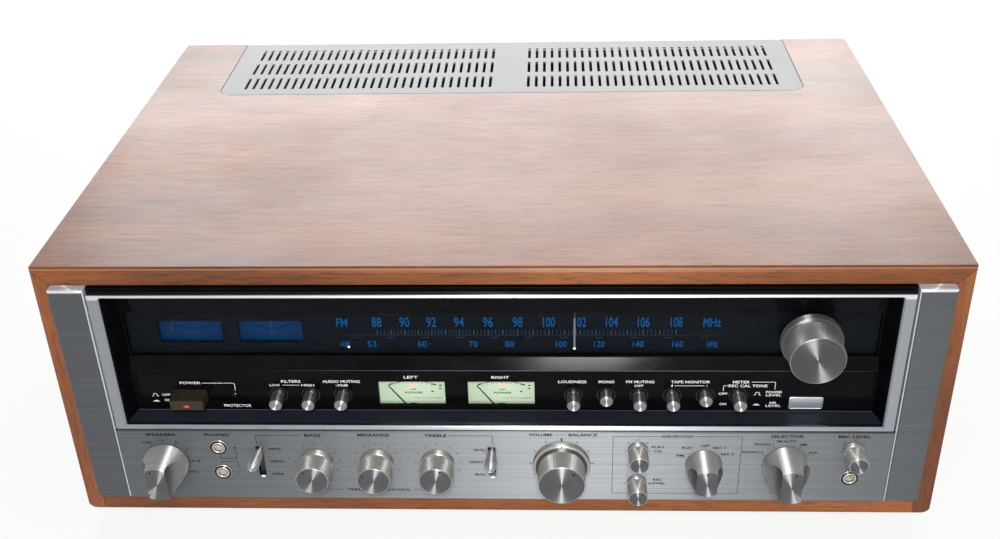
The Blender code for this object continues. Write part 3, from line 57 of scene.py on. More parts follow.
def new_finish(name, colour, roughness, metallic=0.0):
    """A new material; gives it with its node tree and its shader."""
    material = bpy.data.materials.new(name)
    material.use_nodes = True
    shader = material.node_tree.nodes["Principled BSDF"]
    shader.inputs["Base Color"].default_value = (*colour, 1)
    shader.inputs["Roughness"].default_value = roughness
    shader.inputs["Metallic"].default_value = metallic
    return material, material.node_tree, shader


def add_node(tree, kind, **settings):
    node = tree.nodes.new("ShaderNode" + kind)
    for key, value in settings.items():
        setattr(node, key, value)
    return node


def noise(tree, scale, detail=4.0, roughness=0.6, source=None, turn=(0, 0, 0)):
    """A noise stretched by a scale along each of the object's own directions."""
    mapping = add_node(tree, "Mapping")
    mapping.inputs["Scale"].default_value = scale
    mapping.inputs["Rotation"].default_value = turn
    if source is None:
        source = add_node(tree, "TexCoord").outputs["Object"]
    tree.links.new(source, mapping.inputs["Vector"])
    pattern = add_node(tree, "TexNoise")
    pattern.inputs["Scale"].default_value = 1
    pattern.inputs["Detail"].default_value = detail
    pattern.inputs["Roughness"].default_value = roughness
    tree.links.new(mapping.outputs["Vector"], pattern.inputs["Vector"])
    return pattern.outputs["Fac"]


def ramp(tree, value, *stops):
    """Turns a value into a colour by stops of (place, colour)."""
    node = add_node(tree, "ValToRGB")
    elements = node.color_ramp.elements
    while len(elements) < len(stops):
        elements.new(0.5)
    for element, (place, colour) in zip(elements, stops):
        element.position = place
        element.color = (*colour, 1)
    tree.links.new(value, node.inputs["Fac"])
    return node.outputs["Color"]


def spread(tree, value, low, high, to_low, to_high):
    """Maps a value from one range to another, held at its ends."""
    node = add_node(tree, "MapRange")
    for socket, number in zip(node.inputs[1:5], (low, high, to_low, to_high)):
        socket.default_value = number
    tree.links.new(value, node.inputs["Value"])
    return node.outputs["Result"]


def blend(tree, first, second, share, mode="MIX"):
    """Mixes two colours; each may be a colour or a socket, and so may the share."""
    node = add_node(tree, "Mix", data_type="RGBA", blend_type=mode)
    for key, value in ((6, first), (7, second), (0, share)):
        if isinstance(value, bpy.types.NodeSocket):
            tree.links.new(value, node.inputs[key])
        elif key:
            node.inputs[key].default_value = (*value, 1)
        else:
            node.inputs[key].default_value = value
    return node.outputs[2]


def sums(tree, operation, *values):
    """One step of arithmetic on numbers or sockets."""
    node = add_node(tree, "Math", operation=operation)
    for socket, value in zip(node.inputs, values):
        if isinstance(value, bpy.types.NodeSocket):
            tree.links.new(value, socket)
        else:
            socket.default_value = value
    return node.outputs[0]


def relief(tree, shader, height, distance, strength=1.0):
    """Raises the surface by a pattern, by a distance in metres."""
    node = add_node(tree, "Bump")
    node.inputs["Distance"].default_value = distance
    node.inputs["Strength"].default_value = strength
    tree.links.new(height, node.inputs["Height"])
    tree.links.new(node.outputs["Normal"], shader.inputs["Normal"])


def walnut(name, grain):
    """Walnut veneer; grain holds how much longer than wide its fibres are, along x, y and z."""
    material, tree, shader = new_finish(name, (0.29, 0.088, 0.027), 0.34)
    shader.inputs["Specular IOR Level"].default_value = 0.38

    def along(width, length, **settings):
        return noise(tree, tuple(length if far else width for far in grain), **settings)

    figure = along(16, 4.0, detail=4.0, roughness=0.55)
    fibres = along(420, 26, detail=5.0, roughness=0.7)
    pores = along(1100, 90, detail=2.0, roughness=0.5)
    wood = ramp(tree, figure, (0.34, (0.125, 0.034, 0.007)), (0.5, (0.2, 0.058, 0.012)),
                (0.66, (0.26, 0.083, 0.019)))
    streaks = ramp(tree, fibres, (0.32, (0.55, 0.5, 0.46)), (0.5, (0.88, 0.86, 0.84)), (0.68, (1, 1, 1)))
    wood = blend(tree, wood, streaks, 0.8, "MULTIPLY")
    dashes = ramp(tree, pores, (0.36, (0.42, 0.36, 0.3)), (0.44, (1, 1, 1)))
    wood = blend(tree, wood, dashes, 0.6, "MULTIPLY")
    axes = add_node(tree, "SeparateXYZ")
    tree.links.new(add_node(tree, "TexCoord").outputs["Object"], axes.inputs[0])
    front_edge = sums(tree, "ABSOLUTE", sums(tree, "SUBTRACT", axes.outputs["Y"], board_low.y))
    top_edge = sums(tree, "ABSOLUTE", sums(tree, "SUBTRACT", axes.outputs["Z"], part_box("wood_top")[1].z))
    # Painted highlight: a paler strip within about a millimetre of the top front edge, where the edge catches the
    # light.
    edge_highlight = spread(tree, sums(tree, "MAXIMUM", front_edge, top_edge), 0.0009, 0.0015, 0.35, 0.0)
    wood = blend(tree, wood, (0.55, 0.3, 0.16), edge_highlight)
    tree.links.new(wood, shader.inputs["Base Color"])
    clouds = noise(tree, (6, 6, 6), detail=3.0)
    gloss = sums(tree, "ADD", spread(tree, clouds, 0.3, 0.7, 0.3, 0.42), spread(tree, fibres, 0.3, 0.7, 0.04, -0.04))
    tree.links.new(gloss, shader.inputs["Roughness"])
    relief(tree, shader, sums(tree, "ADD", sums(tree, "MULTIPLY", fibres, 0.4), pores), 0.00004, 0.5)
    return material


def coat_node(node, material):
    """Gives a carried-over part its finish."""
    mesh = nodes[node].data
    mesh.materials.clear()
    mesh.materials.append(material)


walnut_along = walnut("walnut along the board", (1, 0, 0))
walnut_upright = walnut("walnut up the board", (0, 0, 1))
coat_node("wood_top", walnut_along)
coat_node("wood_front_sill", walnut_along)
coat_node("wood_side_left", walnut_upright)
coat_node("wood_side_right", walnut_upright)


# The vent grille: one punched and painted steel sheet let into the top board over the heat sink,
# with three rows of upright slots in a left and a right group.
grille_paint, tree, shader = new_finish("silver-grey grille paint", (0.2, 0.2, 0.205), 0.45, 0.1)
shader.inputs["Specular IOR Level"].default_value = 0.3
speckle = noise(tree, (2400, 2400, 2400), detail=2.0)
clouds = noise(tree, (9, 9, 9), detail=2.0)
paint = blend(tree, ramp(tree, speckle, (0.3, (0.2, 0.2, 0.205)), (0.7, (0.275, 0.275, 0.28))),
              ramp(tree, clouds, (0.3, (0.86, 0.86, 0.86)), (0.7, (1, 1, 1))), 1.0, "MULTIPLY")
axes = add_node(tree, "SeparateXYZ")
tree.links.new(add_node(tree, "TexCoord").outputs["Object"], axes.inputs[0])
sheet_low, sheet_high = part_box("vent_grille")
past_side = sums(tree, "SUBTRACT", sums(tree, "ABSOLUTE", axes.outputs["X"]), sheet_high.x)
past_front = sums(tree, "SUBTRACT", sheet_low.y, axes.outputs["Y"])
# Painted shade: a dark line just inside the sheet's front and side edges, for the shadow in the gap round the grille.
rim = spread(tree, sums(tree, "MAXIMUM", past_side, past_front), -0.0008, -0.0005, 0.0, 1.0)
tree.links.new(blend(tree, paint, (0.02, 0.018, 0.016), rim), shader.inputs["Base Color"])
relief(tree, shader, speckle, 0.00003, 0.5)
coat_node("vent_grille", grille_paint)


# The chassis: a bottom plate of zinc-plated steel and a black-painted back, which carries the jacks,
# the cord gland and the ears of the aerial; four moulded rubber feet are pushed into the plate.
zinc, tree, shader = new_finish("zinc plate", (0.45, 0.44, 0.41), 0.38, 0.9)
spangle = add_node(tree, "TexVoronoi")
spangle.inputs["Scale"].default_value = 55
tree.links.new(add_node(tree, "TexCoord").outputs["Object"], spangle.inputs["Vector"])
tree.links.new(blend(tree, (0.5, 0.48, 0.43), (0.36, 0.36, 0.36), spangle.outputs["Color"]),
               shader.inputs["Base Color"])
tree.links.new(spread(tree, noise(tree, (30, 30, 30)), 0.3, 0.7, 0.3, 0.5), shader.inputs["Roughness"])
coat_node("chassis_plate", zinc)

black_paint, tree, shader = new_finish("wrinkled black paint", (0.022, 0.022, 0.024), 0.5)
wrinkle = noise(tree, (900, 900, 900), detail=3.0)
tree.links.new(ramp(tree, noise(tree, (14, 14, 14)), (0.3, (0.016, 0.016, 0.018)), (0.7, (0.032, 0.032, 0.034))),
               shader.inputs["Base Color"])
relief(tree, shader, wrinkle, 0.0001, 0.5)
coat_node("rear_panel", black_paint)

rubber, tree, shader = new_finish("black rubber", (0.018, 0.018, 0.018), 0.75)
dust = noise(tree, (60, 60, 200), detail=6.0)
tree.links.new(ramp(tree, dust, (0.35, (0.012, 0.012, 0.012)), (0.75, (0.045, 0.043, 0.04))),
               shader.inputs["Base Color"])
relief(tree, shader, noise(tree, (1200, 1200, 1200)), 0.00005, 0.6)
for name in ("foot_front_left", "foot_front_right", "foot_rear_left", "foot_rear_right"):
    coat_node(name, rubber)


# The metal front: the faceplate, its two end panels and the dial frame are aluminium, brushed from side
# to side with a coarse wheel and clear anodised, and screwed on from behind.
def brushed(name, colour, roughness, contrast=0.12, anisotropy=0.9):
    """Aluminium brushed from left to right: fine streaks, and a highlight drawn out up and down."""
    material, tree, shader = new_finish(name, colour, roughness, 1.0)
    shader.inputs["Anisotropic"].default_value = anisotropy
    shader.inputs["Anisotropic Rotation"].default_value = 0.25
    coarse = noise(tree, (4, 4, 1500), detail=3.0, roughness=0.6)
    fine = noise(tree, (14, 14, 4600), detail=3.0, roughness=0.7)
    both = sums(tree, "ADD", sums(tree, "MULTIPLY", coarse, 0.5), sums(tree, "MULTIPLY", fine, 0.5))
    low = tuple(part * (1 - contrast) for part in colour)
    high = tuple(min(1, part * (1 + contrast)) for part in colour)
    tree.links.new(ramp(tree, both, (0.38, low), (0.62, high)), shader.inputs["Base Color"])
    tree.links.new(spread(tree, both, 0.35, 0.65, roughness + 0.05, roughness - 0.05), shader.inputs["Roughness"])
    relief(tree, shader, both, 0.00002, 0.4)
    return material


def recoat(material, where, colour, metallic):
    """Gives part of a brushed finish another colour and metal share; where(tree, x, y, z) is 1 there."""
    tree = material.node_tree
    shader = tree.nodes["Principled BSDF"]
    axes = add_node(tree, "SeparateXYZ")
    tree.links.new(add_node(tree, "TexCoord").outputs["Object"], axes.inputs[0])
    share = where(tree, *axes.outputs)
    before = shader.inputs["Base Color"].links[0].from_socket
    tree.links.new(blend(tree, before, colour, share), shader.inputs["Base Color"])
    tree.links.new(spread(tree, share, 0, 1, 1.0, metallic), shader.inputs["Metallic"])


def polished_edge(tree, x, y, z):
    """The end panels' chamfers along the front's middle and along the top, coloured brighter as a painted highlight."""
    inner = spread(tree, sums(tree, "ABSOLUTE", x), 0.2419, 0.2422, 1.0, 0.0)
    return sums(tree, "MAXIMUM", inner, spread(tree, z, spot(0, 0, 173.3).z, spot(0, 0, 173.7).z, 0.0, 1.0))


def behind_the_front(tree, x, y, z):
    """All of the dial frame but its front and the chamfers round its opening, painted black; a dark line along its
    lowest edge is painted shade for the gap below it.
    """
    behind = spread(tree, y, spot(0, -5.8, 0).y, spot(0, -5.5, 0).y, 0.0, 1.0)
    # Painted shade: the dark line along the frame's lowest edge.
    return sums(tree, "MAXIMUM", behind, spread(tree, z, spot(0, 0, 72.2).z, spot(0, 0, 72.5).z, 1.0, 0.0))


def top_bar(tree, x, y, z):
    """The dial frame's upper bar, painted brighter than its sides as a highlight where the light falls on it."""
    return spread(tree, z, spot(0, 0, 168.4).z, spot(0, 0, 168.8).z, 0.0, 1.0)


# Painted shade: the plates' dark base colours stand for the dim room that the brushed metal reflects.
face_metal = brushed("brushed face aluminium", (0.165, 0.175, 0.183), 0.58)
end_metal = brushed("brushed end panel aluminium", (0.135, 0.142, 0.15), 0.55)
frame_metal = brushed("satin frame aluminium", (0.33, 0.35, 0.38), 0.45, 0.04)
# Painted highlight on the end panels' chamfers.
recoat(end_metal, polished_edge, (0.62, 0.64, 0.66), 0.4)
# Painted highlight on the dial frame's top bar.
recoat(frame_metal, top_bar, (0.72, 0.75, 0.79), 1.0)
recoat(frame_metal, behind_the_front, (0.006, 0.006, 0.007), 0.0)
coat_node("faceplate", face_metal)
coat_node("end_panel_left", end_metal)
coat_node("end_panel_right", end_metal)
coat_node("dial_bezel", frame_metal)


# The dial housing: one black styrene moulding, polished in its tool. Its splayed trough holds the control
# panel below, then a ledge, the dial opening and a hood.
moulding, tree, shader = new_finish("polished black moulding", (0.003, 0.003, 0.004), 0.2)
shader.inputs["Specular IOR Level"].default_value = 0.05
haze = noise(tree, (20, 20, 60), detail=5.0)
axes = add_node(tree, "SeparateXYZ")
tree.links.new(add_node(tree, "TexCoord").outputs["Object"], axes.inputs[0])
on_floor = spread(tree, axes.outputs["Z"], spot(0, 0, 75.1).z, spot(0, 0, 75.3).z, 1.0, 0.0)
black = ramp(tree, haze, (0.35, (0.0015, 0.0015, 0.002)), (0.75, (0.004, 0.004, 0.005)))
tree.links.new(blend(tree, black, (0.016, 0.019, 0.028), on_floor), shader.inputs["Base Color"])
tree.links.new(sums(tree, "ADD", spread(tree, haze, 0.3, 0.7, 0.09, 0.16), sums(tree, "MULTIPLY", on_floor, 0.35)),
               shader.inputs["Roughness"])
coat_node("dial_housing", moulding)


# The dial: a clear acrylic window, and behind it the scale plate, printed matt black round its figures.
glass, tree, shader = new_finish("clear acrylic", (0.004, 0.005, 0.006), 0.05)
shader.inputs["Alpha"].default_value = 0.07
shader.inputs["Specular IOR Level"].default_value = 0.04
tree.links.new(spread(tree, noise(tree, (40, 40, 40), detail=6.0), 0.3, 0.8, 0.03, 0.11), shader.inputs["Roughness"])
coat_node("dial_glass", glass)

scale_black, tree, shader = new_finish("dial black", (0.004, 0.005, 0.007), 0.55)
shader.inputs["Specular IOR Level"].default_value = 0.05
tree.links.new(ramp(tree, noise(tree, (90, 90, 90)), (0.3, (0.003, 0.004, 0.006)), (0.7, (0.005, 0.007, 0.01))),
               shader.inputs["Base Color"])
coat_node("dial_scale", scale_black)


def sheet_of_print():
    """An empty flat mesh that printed words and lines are added to."""
    return bmesh.new()


def print_word(sheet, words, left, right, middle, height, y, weight=0.0):
    """Prints capitals or figures so that they reach from left to right and stand a height, in millimetres."""
    curve = bpy.data.curves.new(words, "FONT")
    curve.body = words
    curve.offset = weight
    curve.resolution_u = 3
    holder = bpy.data.objects.new(words, curve)
    mesh = bpy.data.meshes.new_from_object(holder)
    bpy.data.objects.remove(holder)
    bpy.data.curves.remove(curve)
    xs = [vertex.co.x for vertex in mesh.vertices]
    ys = [vertex.co.y for vertex in mesh.vertices]
    mesh.transform(Matrix.Translation((-min(xs), -(min(ys) + max(ys)) / 2, 0)))
    mesh.transform(Matrix.Diagonal(((right - left) / 1000 / (max(xs) - min(xs)),
                                    height / 1000 / (max(ys) - min(ys)), 1, 1)))
    mesh.transform(Matrix.Translation(spot(left, y, middle)) @ Matrix.Rotation(math.radians(90), 4, "X"))
    sheet.from_mesh(mesh)
    bpy.data.meshes.remove(mesh)


def print_centred(sheet, words, x, middle, height, y, width=0.8):
    """Prints a word centred on x, each letter about width times as wide as it is high."""
    half = len(words) * height * width / 2
    print_word(sheet, words, x - half, x + half, middle, height, y)


def print_line(sheet, points, width, y):
    """Prints a line of straight strokes through points of (x, z) in millimetres."""
    for start, end in zip(points, points[1:]):
        run = Vector((end[0] - start[0], end[1] - start[1]))
        stroke = bmesh.ops.create_grid(sheet, x_segments=1, y_segments=1, size=0.5)["verts"]
        size = Matrix.Diagonal(((run.length + width) / 1000, width / 1000, 1, 1))
        turn = Matrix.Rotation(math.atan2(run.y, run.x), 4, "Z")
        middle = spot((start[0] + end[0]) / 2, y, (start[1] + end[1]) / 2)
        bmesh.ops.transform(sheet, verts=stroke, matrix=Matrix.Translation(middle)
                            @ Matrix.Rotation(math.radians(90), 4, "X") @ turn @ size)


def print_arc(sheet, x, z, radius, width, start, end, y):
    """Prints part of a ring; its angles are in degrees, clockwise from the top."""
    inner = sheet.verts.new((0, radius / 1000 - width / 2000, 0))
    outer = sheet.verts.new((0, radius / 1000 + width / 2000, 0))
    edge = sheet.edges.new((inner, outer))
    steps = max(8, int(abs(end - start) / 5))
    arc = bmesh.ops.spin(sheet, geom=[inner, outer, edge], cent=(0, 0, 0), axis=(0, 0, -1),
                         angle=math.radians(end - start), steps=steps)
    last = arc["geom_last"]
    ring = {inner, outer} | {v for v in last if isinstance(v, bmesh.types.BMVert)}
    reach = set(ring)
    while ring:
        ring = {e.other_vert(v) for v in ring for e in v.link_edges} - reach
        reach |= ring
    bmesh.ops.transform(sheet, verts=list(reach), matrix=Matrix.Translation(spot(x, y, z))
                        @ Matrix.Rotation(math.radians(90), 4, "X") @ Matrix.Rotation(math.radians(-start), 4, "Z"))


def add_piece(name, shape, finishes, body, stands_for=(), crease=32):
    """Makes a finished piece of a mesh: smooth but for its creases, tied to its body."""
    for face in shape.faces:
        face.smooth = True
    for edge in shape.edges:
        edge.smooth = len(edge.link_faces) == 2 and edge.calc_face_angle(4) < math.radians(crease)
    mesh = bpy.data.meshes.new(name)
    shape.to_mesh(mesh)
    shape.free()
    for finish in finishes:
        mesh.materials.append(finish)
    piece = bpy.data.objects.new(name, mesh)
    bpy.context.scene.collection.objects.link(piece)
    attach(piece, body)
    if stands_for:
        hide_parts(*stands_for)
    return piece


def ink(name, colour, glow=0.0):
    """Printing ink, slightly worn; a glow lets the lamp behind shine through it."""
    material, tree, shader = new_finish(name, colour, 0.55)
    shader.inputs["Specular IOR Level"].default_value = 0.1
    wear = noise(tree, (500, 500, 500), detail=3.0)
    thin = ramp(tree, wear, (0.3, tuple(part * 0.78 for part in colour)), (0.6, colour))
    tree.links.new(thin, shader.inputs["Base Color"])
    if glow:
        tree.links.new(thin, shader.inputs["Emission Color"])
        shader.inputs["Emission Strength"].default_value = glow
    return material


SCALE_PRINT_Y = 16.56
FM_STATIONS = ((88, -74.4), (90, -57.4), (92, -41.0), (94, -24.0), (96, -6.4), (98, 11.6), (100, 30.6),
               (102, 49.6), (104, 68.6), (106, 87.8), (108, 107.6))
AM_STATIONS = ((53, -78.5), (60, -47.4), (70, -15.9), (80, 6.4), (100, 38.1), (120, 61.3), (140, 85.0),
               (160, 109.0))
figures = sheet_of_print()
for station, x in FM_STATIONS:
    half = 3.0 if station < 100 else 3.6
    print_word(figures, str(station), x - half, x + half, 137.0, 7.3, SCALE_PRINT_Y, 0.01)
print_word(figures, "FM", -99.2, -92.4, 136.6, 6.2, SCALE_PRINT_Y, 0.01)
print_word(figures, "MHz", 123.6, 134.2, 136.8, 6.4, SCALE_PRINT_Y, 0.015)
for station, x in AM_STATIONS:
    half = 2.8 if station < 100 else 3.3
    print_word(figures, str(station), x - half, x + half, 120.7, 4.6, SCALE_PRINT_Y, 0.01)
print_word(figures, "AM", -98.2, -92.4, 120.7, 4.4, SCALE_PRINT_Y, 0.01)
print_word(figures, "kHz", 126.9, 133.2, 120.9, 4.9, SCALE_PRINT_Y, 0.015)
dial_blue = ink("lit blue figures", (0.001, 0.045, 0.15), 0.8)
add_piece("dial_figures", figures, [dial_blue], "cabinet")

ticks = sheet_of_print()
faint_ticks = sheet_of_print()
for (station, left), (_, right) in zip(FM_STATIONS, FM_STATIONS[1:]):
    for step in range(8):
        x = left + (right - left) * step / 8
        print_line(faint_ticks if step % 4 else ticks, [(x, 127.9), (x, 131.1)], 0.5, SCALE_PRINT_Y)
print_line(ticks, [(107.6, 127.9), (107.6, 131.1)], 0.5, SCALE_PRINT_Y)
print_line(faint_ticks, [(-98, 127.3), (134, 127.3)], 0.25, SCALE_PRINT_Y)
for mark in range(11):
    print_line(faint_ticks, [(-89.6 + 21.25 * mark, 125.6), (-85.6 + 21.25 * mark, 125.6)], 0.6, SCALE_PRINT_Y)
add_piece("dial_ticks", ticks, [ink("dial ticks", (0.022, 0.06, 0.1), 0.5)], "cabinet")
add_piece("dial_faint_ticks", faint_ticks, [ink("faint dial ticks", (0.01, 0.026, 0.048), 0.5)], "cabinet")


# The dial pointer: an upright of steel that hangs from the scale plate's top edge and slides with the dial
# cord. Its lower part is white and glows a little as painted light for the dial lamps, with a glowing white dot
# at its foot that is a painted bright spot; the stereo lamp glows beside it.
pointer_white, tree, shader = new_finish("pointer paint", (0.4, 0.4, 0.38), 0.4)
# Painted light: the pointer's glow stands for the dial lamps that light it.
shader.inputs["Emission Strength"].default_value = 0.22
axes = add_node(tree, "SeparateXYZ")
tree.links.new(add_node(tree, "TexCoord").outputs["Object"], axes.inputs[0])
below = spread(tree, axes.outputs["Z"], spot(0, 0, 140.6).z, spot(0, 0, 141.6).z, 1.0, 0.0)
worn = ramp(tree, noise(tree, (600, 600, 90)), (0.3, (0.1, 0.11, 0.12)), (0.7, (0.17, 0.18, 0.19)))
painted = blend(tree, (0.006, 0.006, 0.007), worn, below)
tree.links.new(painted, shader.inputs["Base Color"])
tree.links.new(painted, shader.inputs["Emission Color"])
coat_node("dial_pointer", pointer_white)
lamp_and_bright_dot_white = ink("white glow for lamp and painted bright dot", (0.9, 0.9, 0.86), 0.8)
# The dot at the pointer's foot glows as a painted bright spot; the stereo lamp glows as a lamp.
for name, x, body, slot in (("pointer_foot_dot", 46.13, "dial_pointer", "pointer_paint"),
                            ("stereo_lamp", -93.0, "cabinet", "dial_print")):
    dot = sheet_of_print()
    print_arc(dot, x, 118.6, 0.4, 0.8, 0, 360, 14.9 if body == "dial_pointer" else SCALE_PRINT_Y)
    add_piece(name, dot, [lamp_and_bright_dot_white], body)


# The signal and tuning meters: a dark case behind the scale plate, with a blue-lit face and a printed arc.
# Their needles hang from pivots above the windows.
def lit_face(name, colour, edge_colour, centre, reach, glow):
    """A translucent meter face with a lamp behind it: brightest round a centre, dimmer towards its edges."""
    material, tree, shader = new_finish(name, colour, 0.45)
    shader.inputs["Specular IOR Level"].default_value = 0.1
    shift = add_node(tree, "Mapping")
    shift.inputs["Location"].default_value = -centre
    tree.links.new(add_node(tree, "TexCoord").outputs["Object"], shift.inputs["Vector"])
    away = add_node(tree, "VectorMath", operation="LENGTH")
    tree.links.new(shift.outputs["Vector"], away.inputs[0])
    far = spread(tree, away.outputs["Value"], 0.0, reach, 0.0, 1.0)
    far = sums(tree, "ADD", far, spread(tree, noise(tree, (160, 160, 160)), 0.3, 0.7, -0.12, 0.12))
    lit = blend(tree, colour, edge_colour, far)
    tree.links.new(lit, shader.inputs["Base Color"])
    tree.links.new(lit, shader.inputs["Emission Color"])
    shader.inputs["Emission Strength"].default_value = glow
    return material


BLUE_FACE_Y = 21.05
meter_ink = ink("meter black", (0.004, 0.006, 0.012))
arc_ink = ink("meter navy", (0.001, 0.008, 0.03), 0.3)
for name, x in (("signal_meter", -190.41), ("tuning_meter", -140.59)):
    blue = lit_face(name + " blue", (0.001, 0.019, 0.064), (0.001, 0.01, 0.035), spot(x, 21.1, 124), 0.026, 0.8)
    coat_node(name, blue)
    marks = sheet_of_print()
    print_arc(marks, x, 150.6, 21.3, 0.9, 137, 223, BLUE_FACE_Y)
    for mark in range(9 if name == "signal_meter" else 3):
        bearing = 180 + (mark - (4 if name == "signal_meter" else 1)) * 8.5
        print_arc(marks, x, 150.6, 24.2, 1.0, bearing - 1, bearing + 1, BLUE_FACE_Y)
    add_piece(name + "_marks", marks, [arc_ink], "cabinet")

needle_black, tree, shader = new_finish("needle black", (0.012, 0.012, 0.014), 0.4)
tree.links.new(ramp(tree, noise(tree, (800, 800, 800)), (0.3, (0.006, 0.006, 0.007)), (0.7, (0.022, 0.022, 0.024))),
               shader.inputs["Base Color"])
for name in ("signal_needle", "tuning_needle", "power_needle_left", "power_needle_right"):
    coat_node(name, needle_black)


# The power meters: two green-lit faces in windows of the control panel. Each carries a black arc, a red
# overload mark and a short scale, and its needle turns on a half-hidden black hub.
GREEN_FACE_Y = 13.95
red_ink = ink("overload red", (0.75, 0.47, 0.36), 0.1)
for name, x in (("power_meter_left", -54.9), ("power_meter_right", 0.8)):
    green = lit_face(name + " green", (0.35, 0.43, 0.32), (0.27, 0.34, 0.24), spot(x + 2, 14, 86), 0.026, 0.42)
    coat_node(name, green)
    marks = sheet_of_print()
    print_arc(marks, x, 59.1, 35.4, 0.35, -24, 24, GREEN_FACE_Y)
    print_arc(marks, x, 59.1, 35.4, 0.9, -25, -21, GREEN_FACE_Y)
    print_arc(marks, x, 59.1, 35.2, 0.9, 20.5, 24.5, GREEN_FACE_Y)
    for step in range(9):
        print_arc(marks, x, 59.1, 34.2, 1.6, -20 + step * 5, -19.6 + step * 5, GREEN_FACE_Y)
    print_word(marks, "POWER", x - 5, x + 6.2, 85.2, 1.6, GREEN_FACE_Y, 0.02)
    print_word(marks, "dB", x - 1.6, x + 2.2, 87.8, 1.2, GREEN_FACE_Y)
    print_word(marks, "WATTS AT 8 OHMS", x + 0.5, x + 18.4, 81.0, 0.9, GREEN_FACE_Y)
    for across, up in ((12.2, 86.2), (17.2, 88.6), (17.4, 91.0)):
        print_line(marks, [(x + across - 0.3, up), (x + across + 0.3, up)], 0.9, GREEN_FACE_Y)
    add_piece(name + "_marks", marks, [meter_ink], "cabinet")
    overload = sheet_of_print()
    for half, up, wide in ((3.8, 92.2, 0.5), (1.5, 91.3, 0.9), (0.9, 90.5, 0.8), (0.3, 89.8, 0.7)):
        print_line(overload, [(x + 0.4 - half, up), (x + 0.4 + half, up)], wide, GREEN_FACE_Y)
    add_piece(name + "_overload", overload, [red_ink], "cabinet")


# The push buttons: turned aluminium rods with a dished, spun face and a groove near the panel. Mono and
# the second tape monitor stay latched in. A thin ring is printed round each hole.
def turned(outline, steps=96):
    """Spins an outline of (radius, forward) pairs in millimetres round the piece's axis, front upwards.
    Its map holds the turn round the axis and the way along the outline."""
    shape = bmesh.new()
    points = [shape.verts.new((radius / 1000, 0, forward / 1000)) for radius, forward in outline]
    edges = [shape.edges.new(pair) for pair in zip(points, points[1:])]
    bmesh.ops.spin(shape, geom=points + edges, cent=(0, 0, 0), axis=(0, 0, 1), angle=math.tau, steps=steps,
                   use_merge=True)
    bmesh.ops.remove_doubles(shape, verts=shape.verts, dist=1e-7)
    bmesh.ops.dissolve_degenerate(shape, edges=shape.edges, dist=1e-8)
    bmesh.ops.recalc_face_normals(shape, faces=shape.faces)
    turning = shape.loops.layers.uv.new("turning")
    for face in shape.faces:
        middle = face.calc_center_median()
        facing = math.atan2(middle.y, middle.x)
        for loop in face.loops:
            point = loop.vert.co
            swing = (math.atan2(point.y, point.x) - facing + math.pi) % math.tau - math.pi
            if point.xy.length < 1e-6:
                swing = 0
            loop[turning].uv = ((facing + swing) / math.tau + 0.5, (point.xy.length - point.z) * 10 + 0.5)
    return shape


def set_in(shape, x, y, z, turn=0.0, tilt=0.0):
    """Sets a turned shape on its axis in the front, turned clockwise and tilted up by degrees."""
    bmesh.ops.transform(shape, verts=shape.verts, matrix=Matrix.Translation(spot(x, y, z))
                        @ Matrix.Rotation(math.radians(90 - tilt), 4, "X")
                        @ Matrix.Rotation(math.radians(-turn), 4, "Z"))
    return shape


def paint_where(shape, index, test):
    """Gives the faces whose middle (radius, forward) in millimetres passes a test another finish."""
    for face in shape.faces:
        middle = face.calc_center_median()
        if test(middle.xy.length * 1000, middle.z * 1000):
            face.material_index = index


def spun(name, colour, roughness, rings=1.0, anisotropy=1.0, deep=0.00001, metallic=1.0):
    """Metal turned on a lathe: fine rings round the axis and a highlight drawn out across them."""
    material, tree, shader = new_finish(name, colour, roughness, metallic)
    shader.inputs["Anisotropic"].default_value = anisotropy
    shader.inputs["Anisotropic Rotation"].default_value = 0.25
    round_axis = add_node(tree, "Tangent", direction_type="UV_MAP", uv_map="turning")
    tree.links.new(round_axis.outputs["Tangent"], shader.inputs["Tangent"])
    along = add_node(tree, "UVMap", uv_map="turning").outputs["UV"]
    grooves = noise(tree, (2, 700 * rings, 1), detail=3.0, roughness=0.7, source=along)
    low = tuple(part * 0.88 for part in colour)
    high = tuple(min(1, part * 1.12) for part in colour)
    tree.links.new(ramp(tree, grooves, (0.35, low), (0.65, high)), shader.inputs["Base Color"])
    tree.links.new(spread(tree, grooves, 0.35, 0.65, roughness + 0.06, roughness - 0.06),
                   shader.inputs["Roughness"])
    relief(tree, shader, grooves, deep, 0.6)
    return material


button_metal = spun("turned button aluminium", (0.14, 0.14, 0.143), 0.36)
button_face = spun("spun button face", (0.4, 0.395, 0.39), 0.48)
BUTTONS = (("low_filter", -138.9, 9), ("high_filter", -118.6, 9), ("audio_muting", -98.3, 9),
           ("loudness", 45.48, 9), ("mono", 65.78, 13.5), ("fm_muting", 86.08, 9), ("tape_monitor_1", 106.38, 9),
           ("tape_monitor_2", 126.68, 13.5), ("meter_tone", 146.98, 9))
BUTTON_ROW = 87.2
for name, x, y in BUTTONS:
    shape = turned([(0, 10.98), (3.75, 10.85), (4.05, 10.7), (4.2, 10.4), (4.2, 2.9),
                    (3.95, 2.75), (3.95, 2.3), (4.2, 2.15), (4.2, -6.3), (4.0, -6.5), (0, -6.5)], 64)
    paint_where(shape, 1, lambda radius, forward: radius < 3.75 and forward > 10.8)
    add_piece("turned_" + name + "_button", set_in(shape, x, y, BUTTON_ROW), [button_metal, button_face],
              name + "_button", [name + "_button"])


